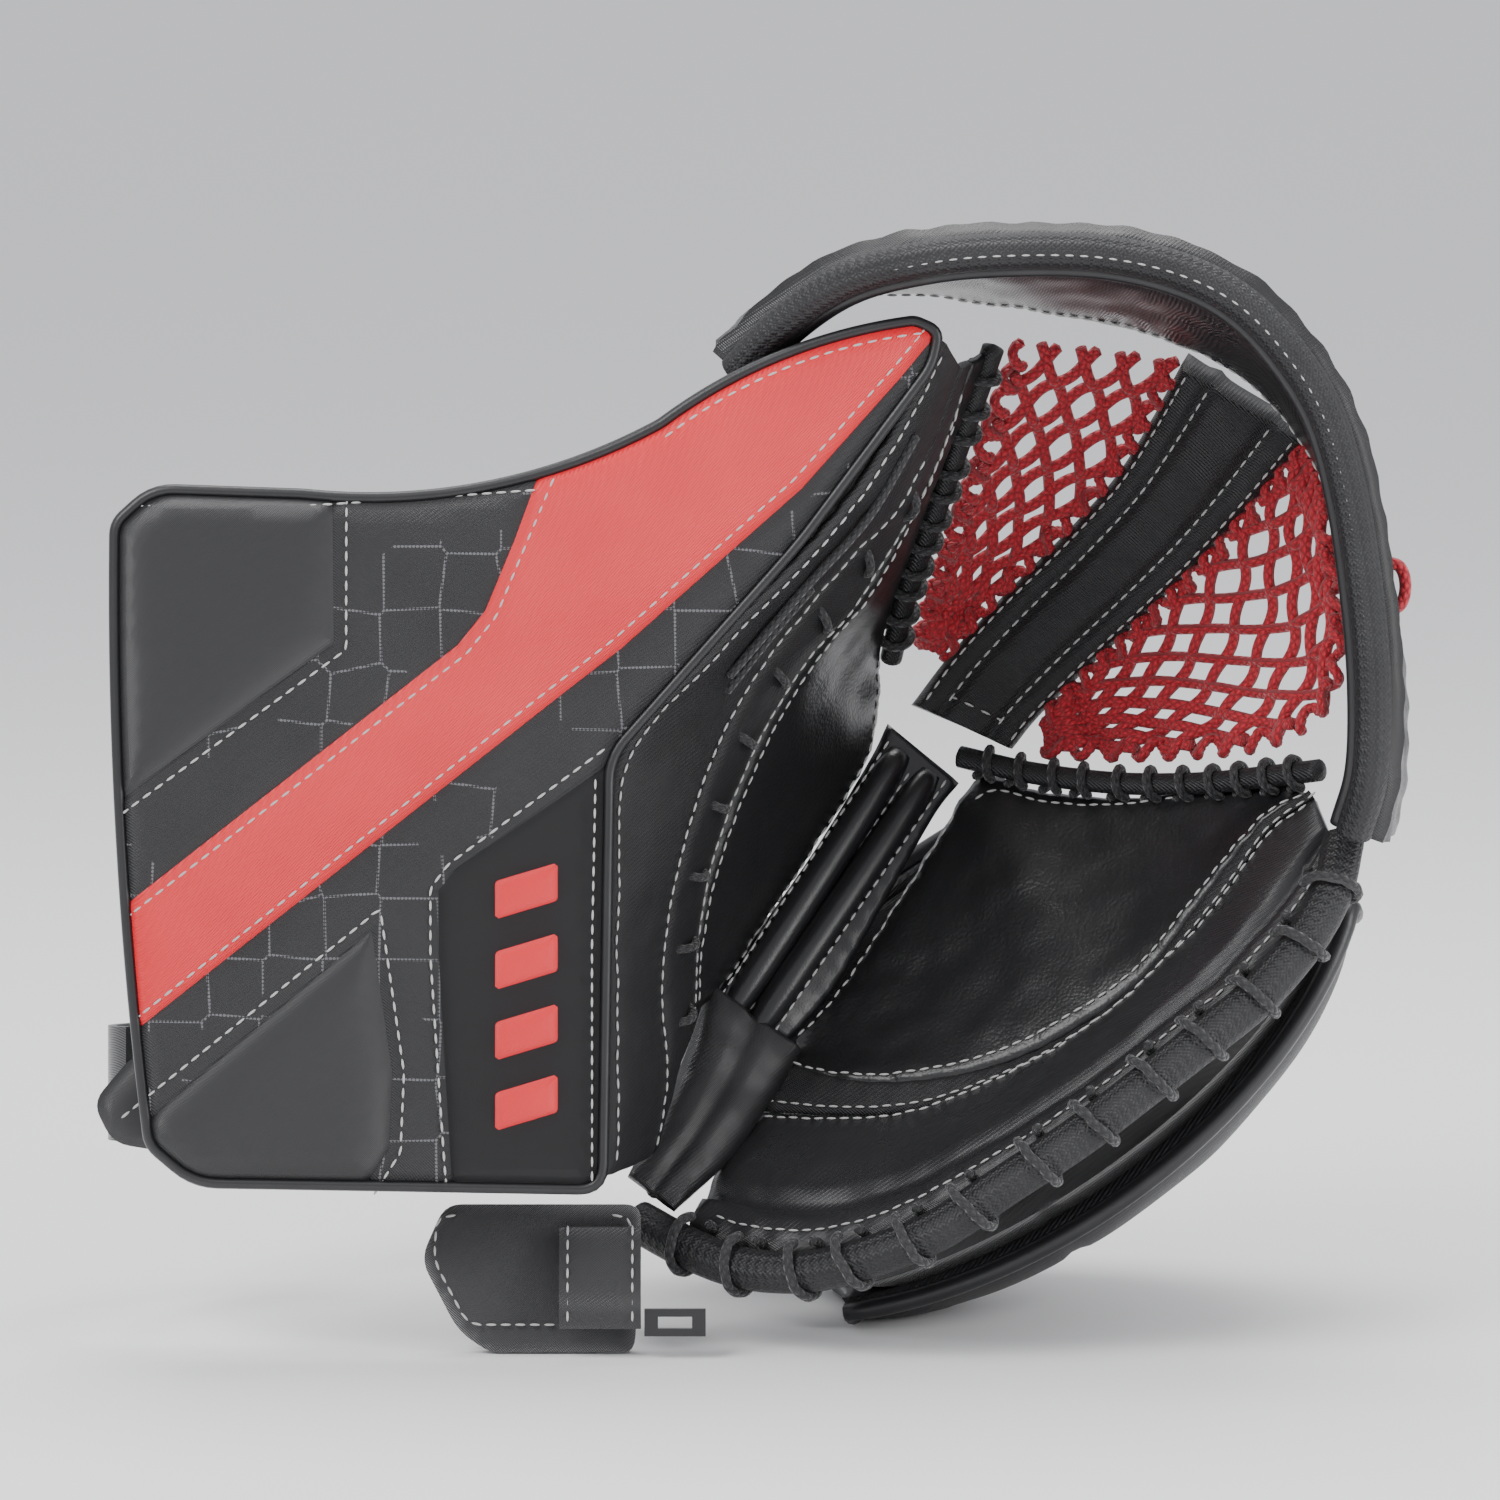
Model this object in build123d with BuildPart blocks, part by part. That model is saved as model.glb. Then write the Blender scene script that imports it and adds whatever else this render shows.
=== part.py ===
"""Ice-hockey goalie catch glove: cuff and thumb board, laced palm, T-trap with two lace nets, rim and backhand pad.

The glove is laid out in its palm frame: x runs across it, deep runs from the front of the rim into the pocket,
and up runs from the strap at the heel to the rim. It stands on its backhand pad, leaning back by STANDING_TILT.
Lengths are millimetres and angles are degrees. The origin is the middle of the footprint, +Z is up.
"""

import math
import os

from build123d import *

# ---------------------------------------------------------------- overall sizes
GLOVE_WIDTH = 390.0
GLOVE_HEIGHT = 330.0
GLOVE_DEPTH = 180.0
STANDING_TILT = 8.0

# the sizes at which the pattern pieces below were drawn
PATTERN_WIDTH = 390.0
PATTERN_HEIGHT = 330.0
PATTERN_DEPTH = 180.0
WIDER = GLOVE_WIDTH / PATTERN_WIDTH
TALLER = GLOVE_HEIGHT / PATTERN_HEIGHT
DEEPER = GLOVE_DEPTH / PATTERN_DEPTH

# the pattern's origin as seen from the middle of the footprint
FOOTPRINT_X = 3.2 * WIDER
FOOTPRINT_Y = 103.3 * DEEPER
FLOOR_Z = -6.0 * DEEPER

# ---------------------------------------------------------------- walls and clearances
CUFF_FRONT = 14.0
COVER = 1.6
OVERLAY = 1.2
CUFF_FRONT_FOAM = 11.0
CUFF_PLATE = 2.4
CUFF_BACK_FOAM = 8.0
CUFF_EDGE_INSET = 3.0
CUFF_PLATE_INSET = 9.0
GUSSET_GAP = 1.0
PIPING = 2.4
PIPING_WIDTH = 4.2
ARC_SHARE = 0.45

LEATHER = 2.6
LAYER_GAP = 1.6
FACING = 3.4
PALM_FOAM = 6.0
LINER = 1.4
BREAK_ROLL_R = 5.2
BREAK_ROLL_SPACING = 11.6
NECK_R = 6.6
BINDING_R = 5.6
THUMB_BINDING_R = 2.8
PALM_TOP_R = 2.8
EDGE_ROLL_R = 5.6
ROLL_GAP = 1.5
LACE_R = 1.5
LACE_CLEARANCE = 1.9
LACE_LOOPS = 13
THUMB_LOOPS = 6
PALM_TOP_LOOPS = 7

RIM_PAD = 9.0
RIM_BINDING_R = 4.6
RIM_FACETS = 5
T_FACE = 2.0
T_CORE = 5.0
T_BACK = 2.0
NET_THICKNESS = 3.0

PAD_LENGTH_R = 128.0
PAD_R = 80.0
PAD_LEAN = 35.0
PAD_COVER = 2.0
PAD_FOAM = 8.0
PAD_SHELL = 2.4
PAD_LINING = 2.6
PAD_FACETS = 7

STALL_R = 8.0
STALL_WALL = 1.2
STRAP = 2.4
HAND_STRAP_WIDTH = 24.0
WRIST_STRAP_WIDTH = 34.0
FLAP_PAD = 11.0
GUARD_PAD = 12.0


# ---------------------------------------------------------------- the palm frame
TILT_SIN = math.sin(math.radians(STANDING_TILT))
TILT_COS = math.cos(math.radians(STANDING_TILT))
INTO_POCKET = Vector(0, TILT_COS, -TILT_SIN)
UP_PALM = Vector(0, TILT_SIN, TILT_COS)


def at(x, deep, up):
    """The point of the standing glove at a place in the palm frame."""
    deep, up = deep * DEEPER, up * TALLER
    return Vector(
        x * WIDER - FOOTPRINT_X,
        deep * TILT_COS + up * TILT_SIN - FOOTPRINT_Y,
        up * TILT_COS - deep * TILT_SIN - FLOOR_Z,
    )


BALL = at(95, 40, 205)


def level(deep, extra=0.0):
    """A sketch plane across the palm frame, with the glove's x and up as its own x and y."""
    return Plane(origin=at(0, deep, 0) + INTO_POCKET * extra, x_dir=(1, 0, 0), z_dir=-INTO_POCKET)


def flat(x, up):
    """A point of an outline drawn on a level() plane."""
    return (x * WIDER, up * TALLER)


def curve(points):
    """A smooth edge through places in the palm frame."""
    with BuildLine() as line:
        Spline(*[at(*p) for p in points])
    return line.edges()[0]


def spaced(count, start=0.0, end=1.0):
    """Evenly spaced shares of an edge's length."""
    return [start + (end - start) * i / (count - 1) for i in range(count)]


def beside(points, dx, ddeep, dup):
    """The same places shifted, to leave a seam's gap beside a neighbour."""
    return [(x + dx, deep + ddeep, up + dup) for x, deep, up in points]


def moved_deep(points, amount):
    """The same places, deeper in the pocket by a number of millimetres."""
    return beside(points, 0, amount / DEEPER, 0)


def block(label, near, far):
    """A closed solid with flat facets between two grids of points that have the same rows and columns."""
    rows, columns = len(near), len(near[0])
    quads = []
    for i in range(rows - 1):
        for j in range(columns - 1):
            quads.append((near[i][j], near[i][j + 1], near[i + 1][j + 1], near[i + 1][j]))
            quads.append((far[i][j], far[i + 1][j], far[i + 1][j + 1], far[i][j + 1]))
    rim = [(0, j) for j in range(columns)] + [(i, columns - 1) for i in range(1, rows)]
    rim += [(rows - 1, j) for j in range(columns - 2, -1, -1)] + [(i, 0) for i in range(rows - 2, 0, -1)]
    for (i, j), (k, m) in zip(rim, rim[1:] + rim[:1]):
        quads.append((near[k][m], near[i][j], far[i][j], far[k][m]))
    facets = []
    for a, b, c, d in quads:
        facets += [Face(Wire.make_polygon([a, b, c])), Face(Wire.make_polygon([a, c, d]))]
    with BuildPart() as piece:
        add(Solid(Shell(facets)))
    piece.part.label = label
    return piece.part


def sheet(label, edge_a, edge_b, thickness, behind=0.0, start=0.0, end=1.0, segments=7):
    """A soft panel stretched between two edges, set back from them and thickened, both away from the ball."""
    near, far = [], []
    for share in spaced(segments + 1, start, end):
        a, b = edge_a @ share, edge_b @ share
        rows = []
        for edge, place in ((edge_a, a), (edge_b, b)):
            outward = (b - a).cross(edge % share).normalized()
            if outward.dot(place - BALL) < 0:
                outward = -outward
            rows.append((place + outward * behind, place + outward * (behind + thickness)))
        near.append([rows[0][0], rows[1][0]])
        far.append([rows[0][1], rows[1][1]])
    return block(label, near, far)


def cord_along(label, edge, radius, start=0.0, end=1.0, runs=8):
    """A round roll of binding or cord that follows an edge in straight runs joined by tangent arcs."""
    places = [edge @ share for share in spaced(runs + 1, start, end)]
    radii = []
    for before, corner, after in zip(places, places[1:], places[2:]):
        turn = math.radians((corner - before).get_angle(after - corner))
        radii.append(ARC_SHARE * min((corner - before).length, (after - corner).length) / math.tan(turn / 2))
    with BuildPart() as roll:
        with BuildLine() as path:
            FilletPolyline(*places, radius=radii)
        with BuildSketch(Plane(origin=places[0], z_dir=path.line % 0)):
            Circle(radius)
        sweep()
    roll.part.label = label
    return roll.part


def lace_loops(label, edge, around_r, count, start=0.04, end=0.96):
    """Separate turns of lace, whipped round a binding of radius around_r."""
    with BuildPart() as laces:
        with Locations(*[Location(Plane(origin=edge @ t, z_dir=edge % t)) for t in spaced(count, start, end)]):
            Torus(around_r + LACE_CLEARANCE + LACE_R, LACE_R)
    laces.part.label = label
    return laces.part


# ---------------------------------------------------------------- pattern: cuff and thumb board
CUFF_CORNER = (-172, 254)
CUFF_HOLLOW = [(-128, 252.5), (-76, 254.5), (-24, 273)]
THUMB_CROWN = [(-24, 273), (14, 294), (50, 303)]
THUMB_SLOPE = [(50, 303), (57, 300), (55, 290), (16, 238), (-39, 176), (-41, 50), (-160, 52), (-173, 63)]
CUFF_SIDE = [(-173, 63), (-181, 150), (-183, 244)]


def board_outline(behind, inset=0.0):
    """The cuff and thumb board's outline, drawn in by an inset, a distance behind the board's front face."""
    with BuildSketch(level(CUFF_FRONT, behind)) as outline:
        with BuildLine():
            Line(flat(*CUFF_CORNER), flat(*CUFF_HOLLOW[0]))
            ThreePointArc(*[flat(*p) for p in CUFF_HOLLOW])
            ThreePointArc(*[flat(*p) for p in THUMB_CROWN])
            Polyline(*[flat(*p) for p in THUMB_SLOPE])
            ThreePointArc(*[flat(*p) for p in CUFF_SIDE])
            Line(flat(*CUFF_SIDE[-1]), flat(*CUFF_CORNER))
        make_face()
        if inset:
            offset(amount=-inset, mode=Mode.REPLACE)
    return outline.sketch


def board_layer(label, near, thickness, inset=0.0):
    """One flat layer of the board, starting a distance behind its front face."""
    with BuildPart() as layer:
        extrude(board_outline(near, inset), amount=-thickness)
    layer.part.label = label
    return layer.part


FOAM_NEAR = COVER
PLATE_NEAR = FOAM_NEAR + CUFF_FRONT_FOAM
BACK_FOAM_NEAR = PLATE_NEAR + CUFF_PLATE
LINING_NEAR = BACK_FOAM_NEAR + CUFF_BACK_FOAM

cuff_cover = board_layer("cuff_cover", 0, COVER)
cuff_front_foam = board_layer("cuff_front_foam", FOAM_NEAR, CUFF_FRONT_FOAM, CUFF_EDGE_INSET)
cuff_stiffener = board_layer("cuff_stiffener", PLATE_NEAR, CUFF_PLATE, CUFF_PLATE_INSET)
cuff_back_foam = board_layer("cuff_back_foam", BACK_FOAM_NEAR, CUFF_BACK_FOAM, CUFF_EDGE_INSET)
cuff_lining = board_layer("cuff_lining", LINING_NEAR, COVER)

def board_ring(label, near, thickness, width):
    """A band round the board's edge, starting a distance behind its front face."""
    with BuildPart() as ring:
        extrude(board_outline(near), amount=-thickness)
        extrude(board_outline(near, width), amount=-thickness, mode=Mode.SUBTRACT)
    ring.part.label = label
    return ring.part


cuff_gusset = board_ring("cuff_gusset", FOAM_NEAR, LINING_NEAR - FOAM_NEAR, CUFF_EDGE_INSET - GUSSET_GAP)
cuff_piping = board_ring("cuff_piping", -PIPING, PIPING, PIPING_WIDTH)


def board_patch(label, corners, radius=3.0):
    """A flat panel sewn on the front of the board."""
    with BuildPart() as patch:
        with BuildSketch(level(CUFF_FRONT, -OVERLAY)):
            with BuildLine():
                Polyline(*[flat(*c) for c in corners], close=True)
            make_face()
            fillet(vertices(), radius)
        extrude(amount=-OVERLAY)
    patch.part.label = label
    return patch.part


thumb_stripe = board_patch(
    "thumb_stripe",
    [(-174, 130), (-171, 102), (-39, 188), (45, 288), (47, 296), (16, 287), (-22, 268), (-50, 256), (-66, 228),
     (-82, 212)],
)
upper_patch = board_patch("upper_patch", [(-176, 246), (-119, 246), (-119, 205), (-174, 163)])
lower_patch = board_patch("lower_patch", [(-164, 76), (-108, 114), (-104, 60), (-164, 60)])
crest_panel = board_patch("crest_panel", [(-84, 56), (-85, 127), (-46, 155), (-47, 56)])

# ---------------------------------------------------------------- pattern: the wall between board and pocket
THUMB_SEAM = [
    (62, 15, 295), (46, 15, 269), (24, 15, 239), (-7, 15, 206), (-33, 15, 175), (-36, 15, 135), (-36.5, 15, 95),
    (-36.5, 15, 56),
]
FACING_SEAM = [
    (63, 36, 288), (48, 40, 254), (32, 44, 236), (17, 46, 219), (3, 47, 200), (-8, 47, 178), (-17, 47, 152),
    (-23, 47, 128), (-25, 48, 104), (-22, 52, 84), (-25, 56, 60),
]
PALM_SEAM = [
    (65, 46, 290), (50, 56, 252), (34, 62, 222), (19, 66, 206), (6, 70, 185), (-3, 72, 166), (-11, 73, 142),
    (-15, 74, 122), (-15, 78, 106),
]
THUMB_BACK = [
    (66, 54, 292), (57, 66, 271), (47, 86, 244), (40, 108, 222), (37, 124, 205), (37, 130, 191), (34, 130, 174),
    (17, 121, 148), (2, 110, 126), (-12, 98, 104),
]


SEAM_GAP = 2.2
thumb_facing = sheet("thumb_facing", curve(THUMB_SEAM), curve(FACING_SEAM), FACING)
thumb_welt = sheet(
    "thumb_welt", curve(beside(FACING_SEAM, SEAM_GAP, SEAM_GAP, 0)), curve(PALM_SEAM), FACING
)
thumb_palm = sheet("thumb_palm", curve(beside(PALM_SEAM, SEAM_GAP, SEAM_GAP, 0)), curve(THUMB_BACK), LEATHER)

THUMB_EDGE = [(73, 57, 296), (65, 67, 274), (56, 87, 248), (48.5, 109, 226), (45, 127, 208)]
thumb_edge = curve(THUMB_EDGE)
thumb_binding = cord_along("thumb_binding", thumb_edge, THUMB_BINDING_R)
thumb_lacing = lace_loops("thumb_lacing", thumb_edge, THUMB_BINDING_R, THUMB_LOOPS)

THUMB_SHELL_TOP = [(-24, 48, 262), (4, 48, 281), (30, 48, 294), (56, 50, 296)]
THUMB_SHELL_BACK = [(-12, 122, 176), (8, 122, 206), (26, 112, 232), (46, 78, 266)]
thumb_guard = sheet("thumb_guard", curve(THUMB_SHELL_TOP), curve(THUMB_SHELL_BACK), FACING)

THUMB_STALL_R = 13.0
THUMB_STALL_WALL = 1.6
THUMB_STALL_LENGTH = 62.0
thumb_stall_axis = Plane(origin=at(-34, 66, 186), z_dir=at(20, 62, 246) - at(-34, 66, 186))
with BuildPart() as thumb_stall:
    with BuildSketch(thumb_stall_axis):
        Circle(THUMB_STALL_R)
        Circle(THUMB_STALL_R - THUMB_STALL_WALL, mode=Mode.SUBTRACT)
    extrude(amount=THUMB_STALL_LENGTH)
thumb_stall.part.label = "thumb_stall"

# ---------------------------------------------------------------- the break: the fold between thumb and fingers
BREAK_HEEL = (-31, 84, 51)
BREAK_TOP = (54, 137, 176)
break_axis = Plane(
    origin=at(*BREAK_HEEL),
    x_dir=(at(*BREAK_TOP) - at(*BREAK_HEEL)).cross(INTO_POCKET),
    z_dir=at(*BREAK_TOP) - at(*BREAK_HEEL),
)
BREAK_LENGTH = (at(*BREAK_TOP) - at(*BREAK_HEEL)).length
ROLL_START = 0.40
ROLL_END = 0.97
NECK_END = 0.36


def break_roll(label, side):
    """One of the two leather rolls that line the break."""
    with BuildPart() as roll:
        with BuildSketch(break_axis.offset(BREAK_LENGTH * ROLL_START)):
            with Locations((side * BREAK_ROLL_SPACING / 2, 0)):
                Circle(BREAK_ROLL_R)
        extrude(amount=BREAK_LENGTH * (ROLL_END - ROLL_START))
        fillet(roll.edges().filter_by(GeomType.CIRCLE), BREAK_ROLL_R * 0.4)
    roll.part.label = label
    return roll.part


break_roll_thumb = break_roll("break_roll_thumb", -1)
break_roll_finger = break_roll("break_roll_finger", 1)

with BuildPart() as heel_neck:
    with BuildSketch(break_axis):
        Circle(NECK_R)
    extrude(amount=BREAK_LENGTH * NECK_END)
    fillet(heel_neck.edges().filter_by(GeomType.CIRCLE), NECK_R * 0.4)
heel_neck.part.label = "heel_neck"

# ---------------------------------------------------------------- pattern: the finger side of the palm
PALM_RIM = [
    (166, 64, 166), (153, 66, 158), (141, 66, 144), (117, 66, 111), (94, 68, 93), (71, 73, 84), (45.5, 80, 80),
    (28, 87, 82), (15, 96, 86),
]
PALM_BREAK = [
    (160, 80, 165), (139, 99, 161), (113, 115, 157), (90, 126, 157), (72, 132, 158), (55, 128, 142), (40, 121, 122),
    (27, 113, 103), (19, 106, 92),
]
FACING_RIM = [
    (164, 60, 158), (152, 62, 149), (143, 62, 138), (131, 62, 122), (108.5, 62, 100), (84, 66, 84), (61, 71, 74),
    (45.5, 75, 70), (28, 82, 69), (6, 92, 68),
]
FACING_FRONT = [
    (168, 50, 148), (160, 41, 131), (145, 36, 114), (129, 34, 103), (111, 32, 89), (92, 31, 75), (71, 32, 61),
    (53, 35, 49), (38, 40, 41), (25, 46, 37), (11, 53, 36), (-1, 60, 38), (-12, 68, 44),
]
FINGER_EDGE = [
    (176, 44, 149), (172, 34, 136), (165, 28, 124), (150, 23, 107), (135, 21, 95.5), (117, 19, 81), (98, 18, 66.5),
    (77, 19, 52.5), (58, 22, 39.5), (42, 26, 32.5), (25, 33, 26.5), (10.5, 40, 25), (-3, 48, 27), (-17, 57, 32),
    (-31, 67, 39),
]
PALM_FOAM_NEAR = LEATHER + LAYER_GAP
PALM_LINER_NEAR = PALM_FOAM_NEAR + PALM_FOAM + LAYER_GAP
palm_leather = sheet("palm_leather", curve(PALM_RIM), curve(PALM_BREAK), LEATHER)
palm_foam = sheet("palm_foam", curve(PALM_RIM), curve(PALM_BREAK), PALM_FOAM, PALM_FOAM_NEAR)
palm_liner = sheet("palm_liner", curve(PALM_RIM), curve(PALM_BREAK), LINER, PALM_LINER_NEAR)
palm_welt = sheet(
    "palm_welt",
    curve(beside(PALM_RIM, 0.5, -2.0, -SEAM_GAP)),
    curve(beside(FACING_RIM, -0.5, 0.5, SEAM_GAP * 1.6)),
    LINER,
)
finger_facing = sheet("finger_facing", curve(FACING_RIM), curve(FACING_FRONT), FACING)
finger_edge = curve(FINGER_EDGE)
finger_binding = cord_along("finger_binding", finger_edge, BINDING_R)
finger_lacing = lace_loops("finger_lacing", finger_edge, BINDING_R, LACE_LOOPS)

ROLL_BEHIND = BINDING_R + EDGE_ROLL_R + LACE_CLEARANCE + 2 * LACE_R + ROLL_GAP
finger_roll = cord_along("finger_roll", curve(moved_deep(FINGER_EDGE, ROLL_BEHIND)), EDGE_ROLL_R)

PALM_TOP = [(70, 126, 174), (88, 120, 170), (113, 108, 169), (137, 92, 170), (156, 75, 173), (169, 60, 174)]
palm_top_edge = curve(PALM_TOP)
palm_top_binding = cord_along("palm_top_binding", palm_top_edge, PALM_TOP_R)
palm_top_lacing = lace_loops("palm_top_lacing", palm_top_edge, PALM_TOP_R, PALM_TOP_LOOPS)

# ---------------------------------------------------------------- rim, T-trap and nets
RIM_FRONT = [
    (-2, 34, 289), (13, 22, 304), (31, 11, 315), (54, 5, 320.5), (77, 4, 322.5), (103.5, 4, 322), (126.5, 4, 317),
    (144, 4, 308), (158, 4, 293.5), (169, 4, 275.5), (176, 4, 251), (180.5, 4, 222), (182.5, 4, 196), (182, 8, 171),
    (178, 18, 154),
]
RIM_BACK = [
    (4, 64, 299), (20, 58, 308), (42, 60, 314), (74.5, 62, 310), (100, 66, 306), (124, 70, 300), (148, 72, 289),
    (166, 72, 271), (178, 72, 246), (185, 70, 221), (188, 68, 196), (188, 64, 172), (184, 54, 155),
]
CROWN_START = 0.36
CROWN_END = 0.60
SECTION_GAP = 0.002
rim_front = curve(beside(RIM_FRONT, 0, 9, 0))
rim_back = curve(RIM_BACK)
rim_roll = curve(RIM_FRONT)
RIM_SPANS = {
    "thumb": (0.03, CROWN_START - SECTION_GAP),
    "crown": (CROWN_START + SECTION_GAP, CROWN_END - SECTION_GAP),
    "finger": (CROWN_END + SECTION_GAP, 0.98),
}
rim_pads = [
    sheet(f"rim_{side}", rim_front, rim_back, RIM_PAD, 0, start, end, RIM_FACETS)
    for side, (start, end) in RIM_SPANS.items()
]
rim_bindings = [
    cord_along(f"rim_binding_{side}", rim_roll, RIM_BINDING_R, start, end, RIM_FACETS)
    for side, (start, end) in RIM_SPANS.items()
]

T_LEFT = [
    (52, 126, 196), (62, 127, 207), (77, 124, 223), (95, 114, 241), (111, 102, 259), (121, 90, 275), (128, 76, 287),
]
T_RIGHT = [
    (82, 128, 181), (90, 127, 189), (104, 122, 202), (123, 112, 220), (139, 101, 236), (154, 88, 253), (163, 76, 264),
]


T_CORE_NEAR = T_FACE + LAYER_GAP
T_BACK_NEAR = T_CORE_NEAR + T_CORE + LAYER_GAP
t_left = curve(T_LEFT)
t_right = curve(T_RIGHT)
t_face = sheet("t_face", t_left, t_right, T_FACE)
t_core = sheet("t_core", t_left, t_right, T_CORE, T_CORE_NEAR)
t_back = sheet("t_back", t_left, t_right, T_BACK, T_BACK_NEAR)


NET_THUMB_EDGE = [(54, 131, 212), (59, 115, 230), (67, 95, 252), (75, 77, 276), (83, 68, 296)]
NET_FINGER_EDGE = [
    (94, 124, 181), (115, 114, 180), (139, 99, 181), (157, 82, 184), (170, 68, 193), (173, 66, 214), (167, 68, 240),
]
net_thumb = sheet("net_thumb", curve(NET_THUMB_EDGE), curve(beside(T_LEFT[1:], -3, 2, 2)), NET_THICKNESS)
net_finger = sheet("net_finger", curve(NET_FINGER_EDGE), curve(beside(T_RIGHT[1:], 4, 2, -3)), NET_THICKNESS)

# ---------------------------------------------------------------- backhand pad
PAD_CENTRE = (72, 98, 103)
PAD_MOUTH = 112.0
PAD_WRIST = -86.0
PAD_TIP = 106.0
PAD_CROWN = (88.0, 90.0)
PAD_BREAK_SIDE = (-66.0, -36.0)
pad_along = Vector(math.cos(math.radians(PAD_LEAN)), 0, 0) + UP_PALM * math.sin(math.radians(PAD_LEAN))
pad_across = INTO_POCKET.cross(pad_along)
pad_centre = at(*PAD_CENTRE)


def in_pad(along, across, behind):
    """A place inside the backhand pad: along the fingers, across them away from the thumb, and behind its middle."""
    return pad_centre + pad_along * along * WIDER + pad_across * across * TALLER + INTO_POCKET * behind * DEEPER


def pad_surface(inset):
    """A grid of points on the pad's rounded surface, drawn in by an inset and flat where it stands on the floor."""
    grid = []
    for part_way in spaced(PAD_FACETS + 1):
        row = []
        for along_way in spaced(PAD_FACETS + 1):
            first = PAD_BREAK_SIDE[0] + (PAD_BREAK_SIDE[1] - PAD_BREAK_SIDE[0]) * min(1, along_way * 1.6)
            turn = math.radians(first + (PAD_MOUTH - first) * part_way)
            crown = min(PAD_TIP, PAD_CROWN[0] + PAD_CROWN[1] * math.sin(turn))
            along = PAD_WRIST + (crown - PAD_WRIST) * along_way
            radius = (PAD_R - inset) * math.sqrt(1 - (along / PAD_LENGTH_R) ** 2)
            place = in_pad(along, radius * math.sin(turn), radius * math.cos(turn))
            row.append(Vector(place.X, place.Y, max(place.Z, inset)))
        grid.append(row)
    return grid


def pad_layer(label, near, thickness):
    """One layer of the pad's wall, open at the front, at the wrist, along the break and above the fingers."""
    return block(label, pad_surface(near), pad_surface(near + thickness))


backhand_cover = pad_layer("backhand_cover", 0, PAD_COVER)
backhand_foam = pad_layer("backhand_foam", PAD_COVER, PAD_FOAM)
backhand_shell = pad_layer("backhand_shell", PAD_COVER + PAD_FOAM, PAD_SHELL)
backhand_lining = pad_layer("backhand_lining", PAD_COVER + PAD_FOAM + PAD_SHELL, PAD_LINING)

# ---------------------------------------------------------------- inside: finger stalls and hand strap
FINGERS = {"index": (-6, 30.5, 60), "middle": (10.5, 24, 66), "ring": (27, 18, 64), "little": (43, 8, 54)}
STALL_START = -6.0


def finger_stall(finger):
    """A knitted tube for one finger, closed at its tip."""
    across, behind, length = FINGERS[finger]
    with BuildPart() as stall:
        with BuildSketch(Plane(origin=in_pad(STALL_START, across, behind), z_dir=pad_along)):
            Circle(STALL_R)
        extrude(amount=length)
        with BuildSketch(Plane(origin=in_pad(STALL_START, across, behind), z_dir=pad_along)):
            Circle(STALL_R - STALL_WALL)
        extrude(amount=length - STALL_WALL, mode=Mode.SUBTRACT)
    stall.part.label = f"{finger}_stall"
    return stall.part


index_stall, middle_stall, ring_stall, little_stall = [finger_stall(finger) for finger in FINGERS]

HAND_STRAP = [(-14, 34), (6, 43), (27, 40), (46, 26)]
strap_edges = []
for strap_along in (-14 - HAND_STRAP_WIDTH, -14):
    with BuildLine() as strap_edge:
        Spline(*[in_pad(strap_along, across, behind) for across, behind in HAND_STRAP])
    strap_edges.append(strap_edge.edges()[0])
hand_strap = sheet("hand_strap", *strap_edges, STRAP)

# ---------------------------------------------------------------- heel, wrist guard and straps
FLAP_FRONT = 40.0
with BuildPart() as heel_flap:
    with BuildSketch(level(FLAP_FRONT)):
        with BuildLine():
            flap_floor = (FLAP_FRONT * DEEPER * TILT_SIN + FLOOR_Z) / TILT_COS / TALLER
            Polyline(
                *[
                    flat(*c)
                    for c in [(-88, 44), (-95, 28), (-84, 7), (-74, flap_floor), (-32, flap_floor), (-30, 44)]
                ],
                close=True,
            )
        make_face()
        fillet(vertices(), 4)
    extrude(amount=-FLAP_PAD)
    split(bisect_by=Plane.XY)
heel_flap.part.label = "heel_flap"


def side_strap(label, path, near_x, far_x, thickness):
    """A strap bent in the deep and up directions, and as wide as from near_x to far_x."""
    side = Plane(origin=at(near_x, 0, 0), x_dir=INTO_POCKET, z_dir=INTO_POCKET.cross(UP_PALM))
    with BuildPart() as strap:
        with BuildSketch(side):
            with BuildLine() as run:
                Spline(*[(deep * DEEPER, up * TALLER) for deep, up in path])
            trace(line_width=thickness)
        extrude(amount=(far_x - near_x) * WIDER)
    strap.part.label = label
    return strap.part


HEEL_STRAP_PATH = [(36, 38), (33, 24), (33, 12), (35.5, 9)]
heel_strap = side_strap("heel_strap", HEEL_STRAP_PATH, -54, -30, STRAP)
with BuildPart() as heel_hook:
    with Locations(Location(Plane(origin=at(-20, 35, 10), x_dir=(1, 0, 0), z_dir=INTO_POCKET))):
        Box(18, 8, 4)
        Box(10, 3.5, 4, mode=Mode.SUBTRACT)
heel_hook.part.label = "heel_hook"

GUARD_FRONT = 44.0
with BuildPart() as wrist_guard:
    with BuildSketch(level(GUARD_FRONT)):
        with BuildLine():
            Polyline(
                *[
                    flat(*c)
                    for c in [(-192, 74), (-186, 62), (-150, 56), (-60, 52), (-56, 92), (-120, 110), (-180, 88)]
                ],
                close=True,
            )
        make_face()
        fillet(vertices(), 5)
    extrude(amount=-GUARD_PAD)
wrist_guard.part.label = "wrist_guard"

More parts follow.
